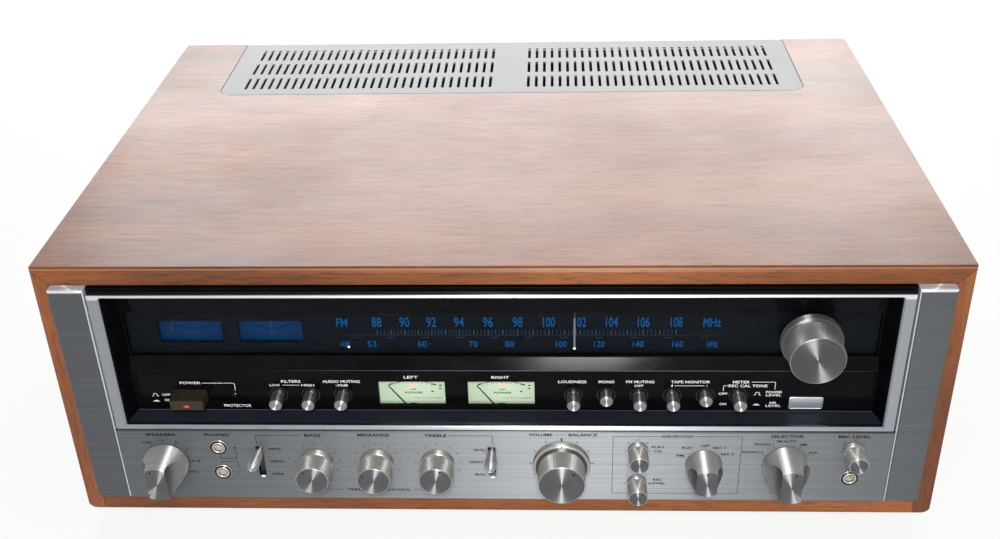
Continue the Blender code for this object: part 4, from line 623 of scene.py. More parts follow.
# The power button: a wide amber moulding with softened edges, over a small red lamp that shows low in
# its front.
amber, tree, shader = new_finish("smoked amber plastic", (0.03, 0.023, 0.013), 0.35)
shader.inputs["Specular IOR Level"].default_value = 0.15
tree.links.new(ramp(tree, noise(tree, (90, 90, 260), detail=5.0), (0.3, (0.022, 0.017, 0.01)),
                    (0.75, (0.034, 0.026, 0.015))), shader.inputs["Base Color"])
lamp_red, tree, shader = new_finish("red lamp", (0.4, 0.02, 0.01), 0.3)
shader.inputs["Emission Strength"].default_value = 0.7
tree.links.new(ramp(tree, noise(tree, (700, 700, 700)), (0.35, (0.42, 0.007, 0.003)), (0.65, (0.82, 0.028, 0.012))),
               shader.inputs["Emission Color"])
button_low, button_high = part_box("power_button")
shape = bmesh.new()
bmesh.ops.create_cube(shape, size=1)
bmesh.ops.scale(shape, vec=button_high - button_low, verts=shape.verts)
bmesh.ops.translate(shape, vec=(button_low + button_high) / 2, verts=shape.verts)
front = [edge for edge in shape.edges if all(vert.co.y < button_low.y + 1e-5 for vert in edge.verts)]
bmesh.ops.bevel(shape, geom=front, offset=0.0009, offset_type="OFFSET", affect="EDGES", segments=4, profile=0.5,
                material=-1)
face = min(shape.faces, key=lambda f: f.calc_center_median().y)
bmesh.ops.inset_region(shape, faces=[face], thickness=0.0011, depth=0)
bmesh.ops.translate(shape, vec=(0, 0.00025, 0), verts=face.verts)
add_piece("power_button_cap", shape, [amber], "power_button", ["power_button"])
lamp = turned([(0, 0.28), (0.7, 0.22), (1.15, 0.0), (1.15, -0.6), (0, -0.6)], 24)
bmesh.ops.scale(lamp, vec=(1.5, 0.75, 1), verts=lamp.verts)
set_in(lamp, -194.6, -2.55, 86.6)
add_piece("power_lamp", lamp, [lamp_red], "power_button")


# The tone and level knobs: solid aluminium, turned with a skirt, a finely knurled body and a spun face whose
# darker colour is painted shade for the dim room it reflects. A dot is drilled near the rim and filled with
# black, and a set screw holds the knob on its shaft.
def knurl(shape, low, high, steps, depth):
    """Draws in every second line of points between two heights, so that ridges stand up round the body."""
    line = math.tau / steps
    sunk = [vert for vert in shape.verts if low < vert.co.z * 1000 < high
            and round(math.atan2(vert.co.y, vert.co.x) / line) % 2]
    for vert in sunk:
        share = 1 - depth / 1000 / vert.co.xy.length
        vert.co.x *= share
        vert.co.y *= share


def merge_into(shape, other, index=None):
    """Adds another shape's mesh to a shape; index names its finish."""
    if index is not None:
        for face in other.faces:
            face.material_index = index
    mesh = bpy.data.meshes.new("part")
    other.to_mesh(mesh)
    other.free()
    shape.from_mesh(mesh)
    bpy.data.meshes.remove(mesh)


def index_dot(shape, radius, forward, size=0.75, lean=0):
    """A filled dot on a knob's face as its third finish, up from the axis or leaning clockwise by degrees."""
    dot = turned([(0, forward + 0.04), (size * 0.8, forward + 0.04), (size, forward - 0.05),
                  (size, forward - 0.6), (0, forward - 0.6)], 20)
    bmesh.ops.translate(dot, vec=(0, radius / 1000, 0), verts=dot.verts)
    bmesh.ops.rotate(dot, cent=(0, 0, 0), matrix=Matrix.Rotation(math.radians(-lean), 3, "Z"), verts=dot.verts)
    merge_into(shape, dot, 2)


knob_side = spun("knurled knob aluminium", (0.47, 0.455, 0.43), 0.42, 0.6, 0.95, metallic=0.9)
# Painted shade: the knob faces' dark base colour stands for the dim room the spun face reflects.
knob_face = spun("spun knob face", (0.165, 0.165, 0.172), 0.46)
dot_black = ink("filled dot", (0.01, 0.01, 0.012))
CONTROL_ROW = 46.0
FRONT = -6.5


def round_knob(name, x, z, length, body, skirt, skirt_length, steps, turn, dot):
    """A skirted knob; its shaft runs back through the faceplate."""
    shape = turned([
        (0, length), (body - 0.5, length - 0.16), (body - 0.2, length - 0.3), (body, length - 0.6),
        (body, skirt_length + 0.9), (body - 0.35, skirt_length + 0.7), (body - 0.35, skirt_length + 0.1),
        (skirt - 0.7, skirt_length), (skirt - 0.15, skirt_length - 0.2), (skirt, skirt_length - 0.75),
        (skirt, 0.55), (skirt - 0.25, 0.3), (3, 0.3), (3, -7.5), (0, -7.5)], steps)
    knurl(shape, skirt_length + 0.85, length - 0.5, steps, 0.3 if body > 6 else 0.2)
    paint_where(shape, 1, lambda radius, forward: forward > length - 0.17 and radius < body - 0.4)
    index_dot(shape, body - 2.3 if body > 6 else body - 1.7, length - 0.1, dot)
    return add_piece("turned_" + name, set_in(shape, x, FRONT, z, turn), [knob_side, knob_face, dot_black],
                     name, [name])


for name, x, turn in (("bass_knob", -116.5, -38), ("midrange_knob", -78.2, -63), ("treble_knob", -39.8, 22)):
    round_knob(name, x, CONTROL_ROW, 18, 10.3, 10.6, 4.5, 144, turn, 0.75)
for name, x, z, turn in (("play_level_knob", 85.38, 57.38, 45), ("record_level_knob", 85.38, 30.74, 40),
                         ("mic_level_knob", 217.56, 57.6, -125)):
    round_knob(name, x, z, 15.7, 6.0, 6.3, 3.4, 80, turn, 0.5)


# The volume knob turns inside the balance ring: both are turned and knurled, the ring thin and wide,
# the knob with a broad spun face.
shape = turned([
    (0, 21), (14.0, 20.75), (14.35, 20.6), (14.6, 20.2), (14.6, 6.4), (14.2, 6.2), (14.2, 5.2),
    (13.9, 4.9), (3, 4.9), (3, -11), (0, -11)], 192)
knurl(shape, 6.3, 20.4, 192, 0.3)
paint_where(shape, 1, lambda radius, forward: radius < 14.0 and forward > 20.7)
index_dot(shape, 11.2, 20.8, 0.9)
add_piece("turned_volume_knob", set_in(shape, 37.99, FRONT, CONTROL_ROW, 40), [knob_side, knob_face, dot_black],
          "volume_knob", ["volume_knob"])
shape = turned([
    (3.3, 4.6), (16.2, 4.6), (16.8, 4.6), (17.5, 4.35), (17.9, 3.9), (17.9, 1.0), (17.6, 0.6), (17.2, 0.3),
    (5, 0.3), (5, -7.5), (3.3, -7.5), (3.3, 4.6)], 216)
knurl(shape, 0.9, 4.0, 216, 0.3)
paint_where(shape, 1, lambda radius, forward: radius < 16.2 and forward > 4)
mark = bmesh.new()
bmesh.ops.create_grid(mark, x_segments=1, y_segments=1, size=0.5)
bmesh.ops.scale(mark, vec=(0.0008, 0.0018, 1), verts=mark.verts)
bmesh.ops.translate(mark, vec=(0, 0.0163, 0.00465), verts=mark.verts)
merge_into(shape, mark, 2)
add_piece("turned_balance_ring", set_in(shape, 37.99, FRONT, CONTROL_ROW), [knob_side, knob_face, dot_black],
          "balance_ring", ["balance_ring"])


# The selector knobs: turned aluminium blanks, milled hollow on both sides until an upright grip is left.
# A filled dot near the top of the grip points at the printed positions.
def pointer_knob(name, x, radius, nose, length, grip, lean):
    """A turned blank with both scoops cut away by round cutters that stand upright."""
    blank = turned([
        (0, length - 0.05), (nose - 1.0, length - 0.05), (nose - 0.35, length - 0.25), (nose, length - 0.8), (radius - 0.1, 4.5),
        (radius, 4.0), (radius, 0.8), (radius - 0.4, 0.3), (3, 0.3), (3, -7.5), (0, -7.5)], 128)
    blank_mesh = bpy.data.meshes.new("blank")
    blank.to_mesh(blank_mesh)
    blank.free()
    blank_object = bpy.data.objects.new("blank", blank_mesh)
    bpy.context.scene.collection.objects.link(blank_object)
    cutters = bmesh.new()
    scoop = length - 4.2
    for side in (-1, 1):
        cutter = bmesh.ops.create_cone(cutters, cap_ends=True, segments=128, radius1=scoop / 1000,
                                       radius2=scoop / 1000, depth=0.05)["verts"]
        bmesh.ops.transform(cutters, verts=cutter, matrix=Matrix.Translation(
            (side * (grip + scoop) / 1000, 0, length / 1000)) @ Matrix.Rotation(math.radians(90), 4, "X"))
    cutter_mesh = bpy.data.meshes.new("cutter")
    cutters.to_mesh(cutter_mesh)
    cutters.free()
    cutter_object = bpy.data.objects.new("cutter", cutter_mesh)
    bpy.context.scene.collection.objects.link(cutter_object)
    cut = blank_object.modifiers.new("scoops", "BOOLEAN")
    cut.operation = "DIFFERENCE"
    cut.object = cutter_object
    shape = bmesh.new()
    shape.from_object(blank_object, bpy.context.evaluated_depsgraph_get())
    bpy.data.objects.remove(blank_object)
    bpy.data.objects.remove(cutter_object)
    rims = [edge for edge in shape.edges if len(edge.link_faces) == 2
            and math.radians(35) < edge.calc_face_angle(0) and min(v.co.z for v in edge.verts) > 0.0043]
    bmesh.ops.bevel(shape, geom=rims, offset=0.00018, offset_type="OFFSET", affect="EDGES", segments=2,
                    profile=0.5, clamp_overlap=True, material=-1)
    paint_where(shape, 1, lambda away, forward: forward > length - 0.15 and away < nose - 0.5)
    for face in shape.faces:
        middle = face.calc_center_median() * 1000
        from_cutter = math.hypot(abs(middle.x) - grip - scoop, middle.z - length)
        if abs(from_cutter - scoop) < 0.05:
            face.material_index = 3
    index_dot(shape, nose - 2.4, length - 0.04, 0.8, lean)
    return add_piece("turned_" + name, set_in(shape, x, FRONT, CONTROL_ROW),
                     [grip_metal, knob_face, dot_black, scoop_metal], name, [name])


grip_metal = spun("turned selector aluminium", (0.4, 0.4, 0.395), 0.48, metallic=0.9)
scoop_metal = brushed("milled scoop aluminium", (0.2, 0.2, 0.205), 0.4, 0.15, 0.3)
pointer_knob("speaker_selector", -212.5, 14.1, 12.7, 22.5, 6.2, -16)
pointer_knob("noise_filter_selector", 126.51, 11.3, 10.2, 19.5, 6.3, 0)
pointer_knob("input_selector", 176.99, 14.1, 12.7, 22.5, 6.2, 12)


# The turnover levers: bat handles turned from aluminium, each on a pivot behind its slot in the
# faceplate. Both stand in the upper of three positions.
bat_metal = spun("turned bat aluminium", (0.4, 0.395, 0.4), 0.44)
for name, x in (("bass_turnover_lever", -151.96), ("treble_turnover_lever", -5.4)):
    shape = turned([(0, 65.5), (0.6, 65.42), (1.4, 65.1), (2.3, 64.4), (3.0, 63.3), (3.45, 61.9), (3.65, 60.5),
                    (3.7, 59.2), (3.66, 57.0), (3.5, 54.0), (3.2, 49.75), (2.85, 47.6), (2.0, 45.7), (2.0, 3.5),
                    (3.5, 2.0), (3.5, -2.0), (2.0, -3.5), (0, -3.5)], 48)
    set_in(shape, x, FRONT + 43, 46.67, tilt=10.5)
    add_piece("turned_" + name, shape, [bat_metal], name, [name], crease=50)


# The plug sockets: nickel-plated barrels behind the faceplate, each held by a ring nut with a black
# washer round it; the bore is dark.
nickel = spun("nickel plate", (0.6, 0.58, 0.53), 0.4, 0.5, 0.6, metallic=0.85)
nut_black, tree, shader = new_finish("black nut", (0.008, 0.008, 0.008), 0.35)
shader.inputs["Specular IOR Level"].default_value = 0.15
tree.links.new(ramp(tree, noise(tree, (500, 500, 500)), (0.3, (0.005, 0.005, 0.005)), (0.7, (0.014, 0.014, 0.015))),
               shader.inputs["Base Color"])
bore_metal, tree, shader = new_finish("dull bore nickel", (0.6, 0.55, 0.45), 0.55)
tree.links.new(ramp(tree, noise(tree, (300, 300, 300)), (0.3, (0.54, 0.49, 0.4)), (0.7, (0.66, 0.6, 0.49))),
               shader.inputs["Base Color"])
bore_dark, tree, shader = new_finish("dark bore", (0.01, 0.01, 0.01), 0.6)
tree.links.new(ramp(tree, noise(tree, (300, 300, 300)), (0.3, (0.006, 0.006, 0.006)), (0.7, (0.02, 0.018, 0.014))),
               shader.inputs["Base Color"])
for name, x, z in (("phones_socket_upper", -177.52, 57.82), ("phones_socket_lower", -177.52, 37.68),
                   ("mic_socket", 217.56, 35.12)):
    shape = turned([(0, -24.3), (3.3, -24.3), (3.3, -12.0), (3.3, -1.0), (3.3, 0.85),
                    (3.5, 1.1), (3.8, 1.15), (4.05, 1.0), (4.2, 0.8), (5.15, 0.85), (5.4, 0.75), (5.6, 0.5), (5.6, 0.3),
                    (4.7, 0.3), (4.7, -4.3), (7.5, -4.3), (7.5, -26.3), (0, -26.3)], 72)
    paint_where(shape, 1, lambda radius, forward: 4.1 < radius < 5.35 and forward > 0.2)
    paint_where(shape, 2, lambda radius, forward: radius < 3.35 and forward < -1.0)
    for face in shape.faces:
        if face.calc_center_median().xy.length < 0.00335 and face.calc_center_median().z < -0.02:
            face.material_index = 3
    add_piece("turned_" + name, set_in(shape, x, FRONT, z), [nickel, nut_black, bore_metal, bore_dark],
              "cabinet", [name])


# The tuning knob: a large knurled aluminium knob with a dished spun face, on a ringed skirt that carries
# a white mark. It is pressed on the shaft of a brass flywheel behind the dial.
# Painted shade: the tuning face's dark base colour stands for the dim room it reflects.
tuning_face = spun("spun tuning face", (0.14, 0.138, 0.142), 0.48)
tuning_side = spun("knurled tuning aluminium", (0.33, 0.325, 0.315), 0.42, 0.6, 0.95)
skirt_metal = spun("turned skirt aluminium", (0.17, 0.168, 0.166), 0.42)
white_fill_and_glint = ink("white fill and painted glint", (0.8, 0.8, 0.78))
shape = turned([
    (0, 25.8), (15.9, 25.4), (16.25, 25.25), (16.5, 24.8),
    (16.98, 9.4), (16.7, 9.1), (16.4, 8.9), (16.4, 8.6), (17.5, 8.4), (17.75, 8.35), (18.3, 8.1), (18.65, 7.5),
    (18.65, 6.5), (18.4, 6.35), (18.4, 6.1), (18.65, 5.95), (18.65, 5.0), (18.4, 4.85), (18.4, 4.6),
    (18.6, 4.4), (18.65, 3.75), (11, 0.6), (3.3, 0.6), (3.3, 14), (0, 14)], 216)
knurl(shape, 9.3, 25.0, 216, 0.3)
paint_where(shape, 1, lambda radius, forward: radius < 15.9 and forward > 25.3)
paint_where(shape, 3, lambda radius, forward: forward < 9)
mark = bmesh.new()
bmesh.ops.create_cube(mark, size=1)
bmesh.ops.scale(mark, vec=(0.0012, 0.0008, 0.0040), verts=mark.verts)
bmesh.ops.translate(mark, vec=(0, 0.01829, 0.0063), verts=mark.verts)
bmesh.ops.rotate(mark, cent=(0, 0, 0), matrix=Matrix.Rotation(math.radians(17), 3, "Z"), verts=mark.verts)
merge_into(shape, mark, 2)
add_piece("turned_tuning_knob", set_in(shape, 187.1, 12, 130.01), [tuning_side, tuning_face, white_fill_and_glint, skirt_metal],
          "tuning_drive", ["tuning_knob"])
brass, tree, shader = new_finish("flywheel brass", (0.55, 0.4, 0.16), 0.35, 1.0)
tree.links.new(ramp(tree, noise(tree, (40, 40, 40)), (0.3, (0.42, 0.3, 0.12)), (0.7, (0.6, 0.45, 0.2))),
               shader.inputs["Base Color"])
coat_node("tuning_flywheel", brass)


# The slots behind the levers: a black sheet behind each slot, painted shade for the dark inside of the slot,
# and a white mark under its lower end that is a painted glint.
slot_shade_black, tree, shader = new_finish("painted slot shade", (0.012, 0.012, 0.013), 0.5)
tree.links.new(ramp(tree, noise(tree, (600, 600, 120)), (0.3, (0.008, 0.008, 0.009)), (0.7, (0.02, 0.02, 0.022))),
               shader.inputs["Base Color"])
FACE_PRINT = -6.55
# Painted shade: a black sheet behind each lever slot.
slot_shades = bmesh.new()
for x in (-151.96, -5.4):
    print_line(slot_shades, [(x, 35.2), (x, 58.2)], 4.0, -2.0)
add_piece("lever_guides", slot_shades, [slot_shade_black], "cabinet")
# Painted glint: a small white mark under each slot's lower end.
slot_glints = bmesh.new()
for x in (-151.96, -5.4):
    print_line(slot_glints, [(x - 0.5, 34.0), (x + 0.5, 34.0)], 1.4, FACE_PRINT)
add_piece("lever_guide_spots", slot_glints, [white_fill_and_glint], "cabinet")


# The printing on the faceplate: function names, positions and scales, screen-printed in black.
panel_ink = ink("black panel ink", (0.006, 0.006, 0.007))
sheet = sheet_of_print()
for words, left, right, middle in (
        ("SPEAKERS", -222.7, -203.8, 67.6), ("PHONES", -185.4, -169.6, 67.6), ("BASS", -122.2, -112, 67.5),
        ("MIDRANGE", -88.8, -68.9, 67.9), ("TREBLE", -47.1, -33.2, 67.7), ("VOLUME", 17.7, 32.4, 68.6),
        ("BALANCE", 42.4, 60.1, 68.6), ("SELECTOR", 166.3, 186.6, 68), ("MIC LEVEL", 207.3, 226.8, 67.9)):
    print_word(sheet, words, left, right, middle, 2.2, FACE_PRINT, 0.03)
for words, left, right, middle in (
        ("OFF", -225.9, -219.9, 61.1), ("A+B", -197.2, -190.9, 46.3), ("A+C", -199.8, -193.6, 37.2),
        ("400Hz", -146.2, -138.2, 56.4), ("DEFEAT", -146, -136.7, 46.2), ("200Hz", -146.2, -138.6, 36),
        ("2kHz", -17.0, -10.2, 56.4), ("DEFEAT", -19.9, -10.7, 46.4), ("4kHz", -16.9, -10.1, 36.2),
        ("TRIPLE", -99.1, -88.1, 23), ("TONE", -85.2, -77.4, 23), ("CONTROL", -74.9, -58.1, 23),
        ("PLAY", 93.9, 101.7, 59.2), ("CAL", 95, 100.9, 55.9), ("REC", 95.6, 101.4, 32.6),
        ("LEVEL", 93.5, 103.4, 29.6), ("PLAY", 112.5, 119.2, 58.7), ("FM", 109.4, 113.8, 52.4),
        ("OFF", 123.8, 129.4, 60.5), ("REC 1", 131.7, 139.2, 58.7), ("REC 2", 136.7, 144.6, 53.7),
        ("PHONO 2", 149.7, 162.4, 55.5), ("PHONO 1", 156.8, 168.4, 61.7), ("FM AUTO", 170.2, 182.1, 64.1),
        ("AM", 184.2, 188.6, 61.6), ("AUX", 190.2, 195.8, 55.3)):
    print_word(sheet, words, left, right, middle, 1.8, FACE_PRINT, 0.025)
for words, x, middle in (("A", -212.8, 63.2), ("B", -204, 61.5), ("C", -198.3, 55.6), ("1", -167.4, 57.2),
                         ("2", -167.3, 36.8)):
    print_centred(sheet, words, x, middle, 1.8, FACE_PRINT, 0.9 if words.isalpha() else 0.5)
for x in (-116.5, -78.2, -39.8):
    for words, across, up in (("-2", -7.2, 11.5), ("-4", -12.1, 7), ("-6", -13.6, 0.4), ("-8", -12.0, -6.1),
                              ("-10", -7.8, -11.4), ("+2", 7.7, 11.7), ("+4", 11.5, 6.7), ("+6", 13.4, 0.7),
                              ("+8", 12.0, -6.1), ("+10", 7.8, -11.4)):
        reach = 14.4
        bearing = math.atan2(across, up)
        print_centred(sheet, words, x + reach * math.sin(bearing), CONTROL_ROW + reach * math.cos(bearing),
                      1.25, FACE_PRINT, 0.62)
    print_centred(sheet, "0", x, CONTROL_ROW + 14.4, 1.25, FACE_PRINT, 0.62)
for points in ([(-177.3, 50.9), (-177.5, 48.3), (-167.2, 48.4), (-167.3, 54.4)],
               [(-177.5, 43.3), (-177.1, 46.0), (-167.3, 46.2), (-166.9, 41.0)],
               [(-153.1, 59.9), (-153.1, 67.4), (-124.3, 67.4)], [(-31.8, 67.7), (-4.8, 67.7), (-4.8, 59.9)],
               [(-113.1, 23.1), (-101.2, 23.1)], [(-56.2, 23.1), (-50.4, 23.1)], [(34.5, 68.6), (40.4, 68.6)],
               [(97.9, 67.7), (69.9, 67.7), (69.9, 21.1), (149, 21.1), (149, 67.7), (120.2, 67.7)]):
    print_line(sheet, points, 0.3, FACE_PRINT)
print_word(sheet, "NOISE REDUCTION", 99.4, 118.8, 67.7, 1.9, FACE_PRINT, 0.025)
for bearing in range(-150, 151, 30):
    long_mark = bearing % 90 == 0
    print_arc(sheet, 37.99, CONTROL_ROW, 19.2, 1.9 if long_mark else 1.2, bearing - 0.9, bearing + 0.9, FACE_PRINT)
print_arc(sheet, 37.99, 64.6, 0.35, 0.7, 0, 360, FACE_PRINT)
for x, bearings, reach in ((-212.5, (-58, -30, 0, 30, 60, 92, 124), 15.6), (176.99, (-62, -30, 0, 30, 62), 15.6),
                           (126.51, (-66, -38, 0, 34, 62), 13.2)):
    for bearing in bearings:
        print_arc(sheet, x, CONTROL_ROW, reach, 0.7, bearing - 0.8, bearing + 0.8, FACE_PRINT)
for x, z in ((85.38, 57.38), (85.38, 30.74), (217.56, 57.6)):
    for bearing in range(-150, 151, 50):
        print_arc(sheet, x, z, 7.6, 1.0, bearing - 2, bearing + 2, FACE_PRINT)
add_piece("faceplate_printing", sheet, [panel_ink], "cabinet")


# The printing on the control panel, in white on the black moulding, with a thin ring round each button
# and a small dark lamp lens over the protection circuit.
PANEL_PRINT = 8.95
panel_white = ink("white panel ink", (0.72, 0.73, 0.74))
sheet = sheet_of_print()
for words, left, right, middle in (
        ("POWER", -200.5, -187.3, 96.3), ("PROTECTOR", -174.8, -157.4, 78.5), ("FILTERS", -136.3, -124.2, 97.6),
        ("AUDIO MUTING", -110.4, -87.0, 97.6), ("LEFT", -59.4, -50.6, 101), ("RIGHT", -5, 5.9, 101),
        ("LOUDNESS", 36.2, 53.5, 97.7), ("MONO", 61, 70.7, 97.7), ("FM MUTING", 77.8, 95.1, 97.7),
        ("TAPE MONITOR", 105.4, 129.2, 97.7), ("METER", 143, 153.3, 97.7), ("REC CAL TONE", 140.6, 164.3, 94.8)):
    print_word(sheet, words, left, right, middle, 2.0, PANEL_PRINT, 0.01)
for words, left, right, middle in (
        ("OFF", -213.1, -207.9, 87.0), ("ON", -212.3, -208.1, 82.7), ("LOW", -143.8, -137.4, 94.7),
        ("HIGH", -123.8, -115.8, 94.7), ("-20dB", -102.4, -94.6, 94.7), ("OFF", 82.9, 88.6, 94.7),
        ("OFF", 135.0, 140.4, 88.7), ("ON", 136.0, 140.0, 80.7), ("POWER", 163.8, 173.7, 90.0),
        ("LEVEL", 164.0, 173.4, 87.7), ("NR", 166.6, 170.8, 81.7), ("LEVEL", 164.4, 173.8, 79.4)):
    print_word(sheet, words, left, right, middle, 1.7, PANEL_PRINT, 0.008)
for words, x, middle in (("1", 106.1, 94.8), ("2", 127.4, 94.8)):
    print_centred(sheet, words, x, middle, 1.5, PANEL_PRINT, 0.5)
for points in ([(-186.5, 96.2), (-166.0, 96.2), (-166.0, 90.6)], [(-135.6, 94.7), (-125.2, 94.7)],
               [(107.9, 94.8), (125.8, 94.8)], [(154.6, 97.7), (169.0, 97.7), (169.0, 92.2)],
               [(140.0, 94.9), (137.6, 94.9), (137.6, 91)]):
    print_line(sheet, points, 0.3, PANEL_PRINT)
for x, z in ((-217.5, 86.9), (158.6, 88.8)):
    print_line(sheet, [(x - 2.0, z - 1.0), (x - 1.1, z - 1.0), (x - 1.1, z + 1.0), (x + 1.1, z + 1.0),
                       (x + 1.1, z - 1.0), (x + 2.0, z - 1.0)], 0.35, PANEL_PRINT)
for x, z in ((-217.5, 82.5), (158.6, 80.6)):
    print_line(sheet, [(x - 2.0, z - 0.7), (x + 2.0, z - 0.7)], 0.35, PANEL_PRINT)
    print_line(sheet, [(x - 0.7, z - 0.2), (x + 0.7, z - 0.2)], 0.9, PANEL_PRINT)
add_piece("control_panel_printing", sheet, [panel_white], "cabinet")
rings = sheet_of_print()
for name, x, y in BUTTONS:
    print_arc(rings, x, BUTTON_ROW, 5.5, 0.25, 0, 360, PANEL_PRINT)
add_piece("button_rings", rings, [ink("faint ring ink", (0.05, 0.052, 0.055))], "cabinet")
lens, tree, shader = new_finish("dark lamp lens", (0.006, 0.003, 0.003), 0.1)
shader.inputs["Specular IOR Level"].default_value = 0.15
tree.links.new(ramp(tree, noise(tree, (500, 500, 500)), (0.3, (0.004, 0.002, 0.002)), (0.7, (0.009, 0.004, 0.004))),
               shader.inputs["Base Color"])
shape = turned([(0, 0.8), (0.8, 0.65), (1.5, 0.3), (2.0, 0.05), (2.0, -0.4), (0, -0.4)], 40)
add_piece("protection_lamp", set_in(shape, -167.2, 9, 86.5), [lens], "cabinet")


# The badge plate: a bare etched aluminium plate with a turned-up rim, glued to the control panel under
# the tuning knob.
badge_metal = brushed("badge aluminium", (0.72, 0.77, 0.83), 0.3, 0.05, 0.5)
badge_low, badge_high = spot(178.2, 8.1, 77.1), spot(199.2, 9.2, 86.7)
shape = bmesh.new()
bmesh.ops.create_cube(shape, size=1)
bmesh.ops.scale(shape, vec=badge_high - badge_low, verts=shape.verts)
bmesh.ops.translate(shape, vec=(badge_low + badge_high) / 2, verts=shape.verts)
bmesh.ops.bevel(shape, geom=[e for e in shape.edges if abs(e.verts[0].co.y - e.verts[1].co.y) > 0.0005],
                offset=0.0014, offset_type="OFFSET", affect="EDGES", segments=5, profile=0.5, material=-1)
front = min(shape.faces, key=lambda f: f.calc_center_median().y)
bmesh.ops.bevel(shape, geom=list(front.edges), offset=0.0003, offset_type="OFFSET", affect="EDGES", segments=3,
                profile=0.5, material=-1)
front = min(shape.faces, key=lambda f: f.calc_center_median().y)
bmesh.ops.inset_region(shape, faces=[front], thickness=0.0006, depth=0)
bmesh.ops.inset_region(shape, faces=[front], thickness=0.0002, depth=0)
bmesh.ops.translate(shape, vec=(0, 0.0002, 0), verts=front.verts)
add_piece("badge_plate", shape, [badge_metal], "cabinet")


# Two thin painted highlights run along the trough as lines of light on edges of the moulding: one under the
# ledge, brightest near the middle, and one at the back of the trough's floor.
painted_ledge_highlight, tree, shader = new_finish("painted ledge highlight", (0.1, 0.1, 0.105), 0.3)
shader.inputs["Specular IOR Level"].default_value = 0.1
axes = add_node(tree, "SeparateXYZ")
tree.links.new(add_node(tree, "TexCoord").outputs["Object"], axes.inputs[0])
# Painted highlight: brightest near the middle of the ledge edge, fading to black towards the ends.
from_middle = sums(tree, "ABSOLUTE", sums(tree, "SUBTRACT", axes.outputs["X"], 0.045))
fading = spread(tree, from_middle, 0.03, 0.19, 0.0, 1.0)
tree.links.new(blend(tree, (0.13, 0.135, 0.14), (0.004, 0.0045, 0.005), fading), shader.inputs["Base Color"])
shape = bmesh.new()
print_line(shape, [(-229.5, 106.1), (229.5, 106.1)], 0.35, 8.9)
add_piece("ledge_highlight_line", shape, [painted_ledge_highlight], "cabinet")
# Painted highlight along the back of the trough's floor.
painted_floor_edge_highlight, tree, shader = new_finish("painted floor edge highlight", (0.05, 0.055, 0.065), 0.3)
tree.links.new(ramp(tree, noise(tree, (30, 30, 30)), (0.3, (0.03, 0.035, 0.042)), (0.7, (0.075, 0.08, 0.09))),
               shader.inputs["Base Color"])
shape = bmesh.new()
print_line(shape, [(-229.5, 75.3), (229.5, 75.3)], 0.4, 8.9)
add_piece("floor_highlight_line", shape, [painted_floor_edge_highlight], "cabinet")


# Inside, seen through the grille: the transformer, the finned heat sink and the circuit board with its
# two reservoir capacitors.
varnish, tree, shader = new_finish("transformer varnish", (0.03, 0.028, 0.026), 0.4)
laminations = noise(tree, (20, 2600, 20), detail=2.0)
tree.links.new(ramp(tree, laminations, (0.35, (0.018, 0.017, 0.016)), (0.65, (0.05, 0.046, 0.042))),
               shader.inputs["Base Color"])
relief(tree, shader, laminations, 0.0001, 0.5)
coat_node("power_transformer", varnish)
extrusion, tree, shader = new_finish("extruded heat sink", (0.06, 0.06, 0.062), 0.45, 0.7)
tree.links.new(ramp(tree, noise(tree, (900, 900, 8)), (0.3, (0.045, 0.045, 0.047)), (0.7, (0.08, 0.08, 0.082))),
               shader.inputs["Base Color"])
coat_node("heat_sink", extrusion)
resin, tree, shader = new_finish("brown board resin", (0.12, 0.07, 0.025), 0.5)
tree.links.new(ramp(tree, noise(tree, (120, 120, 120), detail=6.0), (0.35, (0.07, 0.04, 0.015)),
                    (0.7, (0.16, 0.1, 0.04))), shader.inputs["Base Color"])
coat_node("main_board", resin)


# The fittings of the back: phono jacks with coloured collars, screw terminals on a black strip, the cord
# gland, and the ferrite aerial on its hub between two ears.
EARS_AND_PANEL = 339.5
jack_red, tree, shader = new_finish("red jack collar", (0.4, 0.02, 0.015), 0.4)
tree.links.new(ramp(tree, noise(tree, (300, 300, 300)), (0.3, (0.3, 0.015, 0.012)), (0.7, (0.46, 0.03, 0.02))),
               shader.inputs["Base Color"])
jack_white, tree, shader = new_finish("white jack collar", (0.6, 0.6, 0.57), 0.4)
tree.links.new(ramp(tree, noise(tree, (300, 300, 300)), (0.3, (0.5, 0.5, 0.47)), (0.7, (0.66, 0.66, 0.62))),
               shader.inputs["Base Color"])


def set_in_back(shape, x, y, z):
    """Sets a turned shape on its axis in the back, facing backwards."""
    bmesh.ops.transform(shape, verts=shape.verts, matrix=Matrix.Translation(spot(x, y, z))
                        @ Matrix.Rotation(math.radians(-90), 4, "X"))
    return shape


for row, z, collar in (("lower", 42.27, jack_red), ("upper", 62.27, jack_white)):
    jacks = bmesh.new()
    for column in range(7):
        jack = turned([(4.1, 0.05), (6.2, 0.05), (6.2, 0.9), (5.9, 1.2), (4.7, 1.2), (4.6, 8.0), (4.45, 8.25),
                       (3.2, 8.25), (3.1, 8.05)], 32)
        paint_where(jack, 1, lambda radius, forward: radius > 4.65)
        jack = set_in_back(jack, 223.55 - 19 * column, EARS_AND_PANEL, z)
        merge_into(jacks, jack)
        pin = turned([(3.15, 8.05), (1.7, 8.06), (1.6, 8.3), (0, 8.3)], 24)
        merge_into(jacks, set_in_back(pin, 223.55 - 19 * column, EARS_AND_PANEL, z), 2)
    add_piece("phono_jacks_" + row, jacks, [nickel, collar, bore_dark], "cabinet")

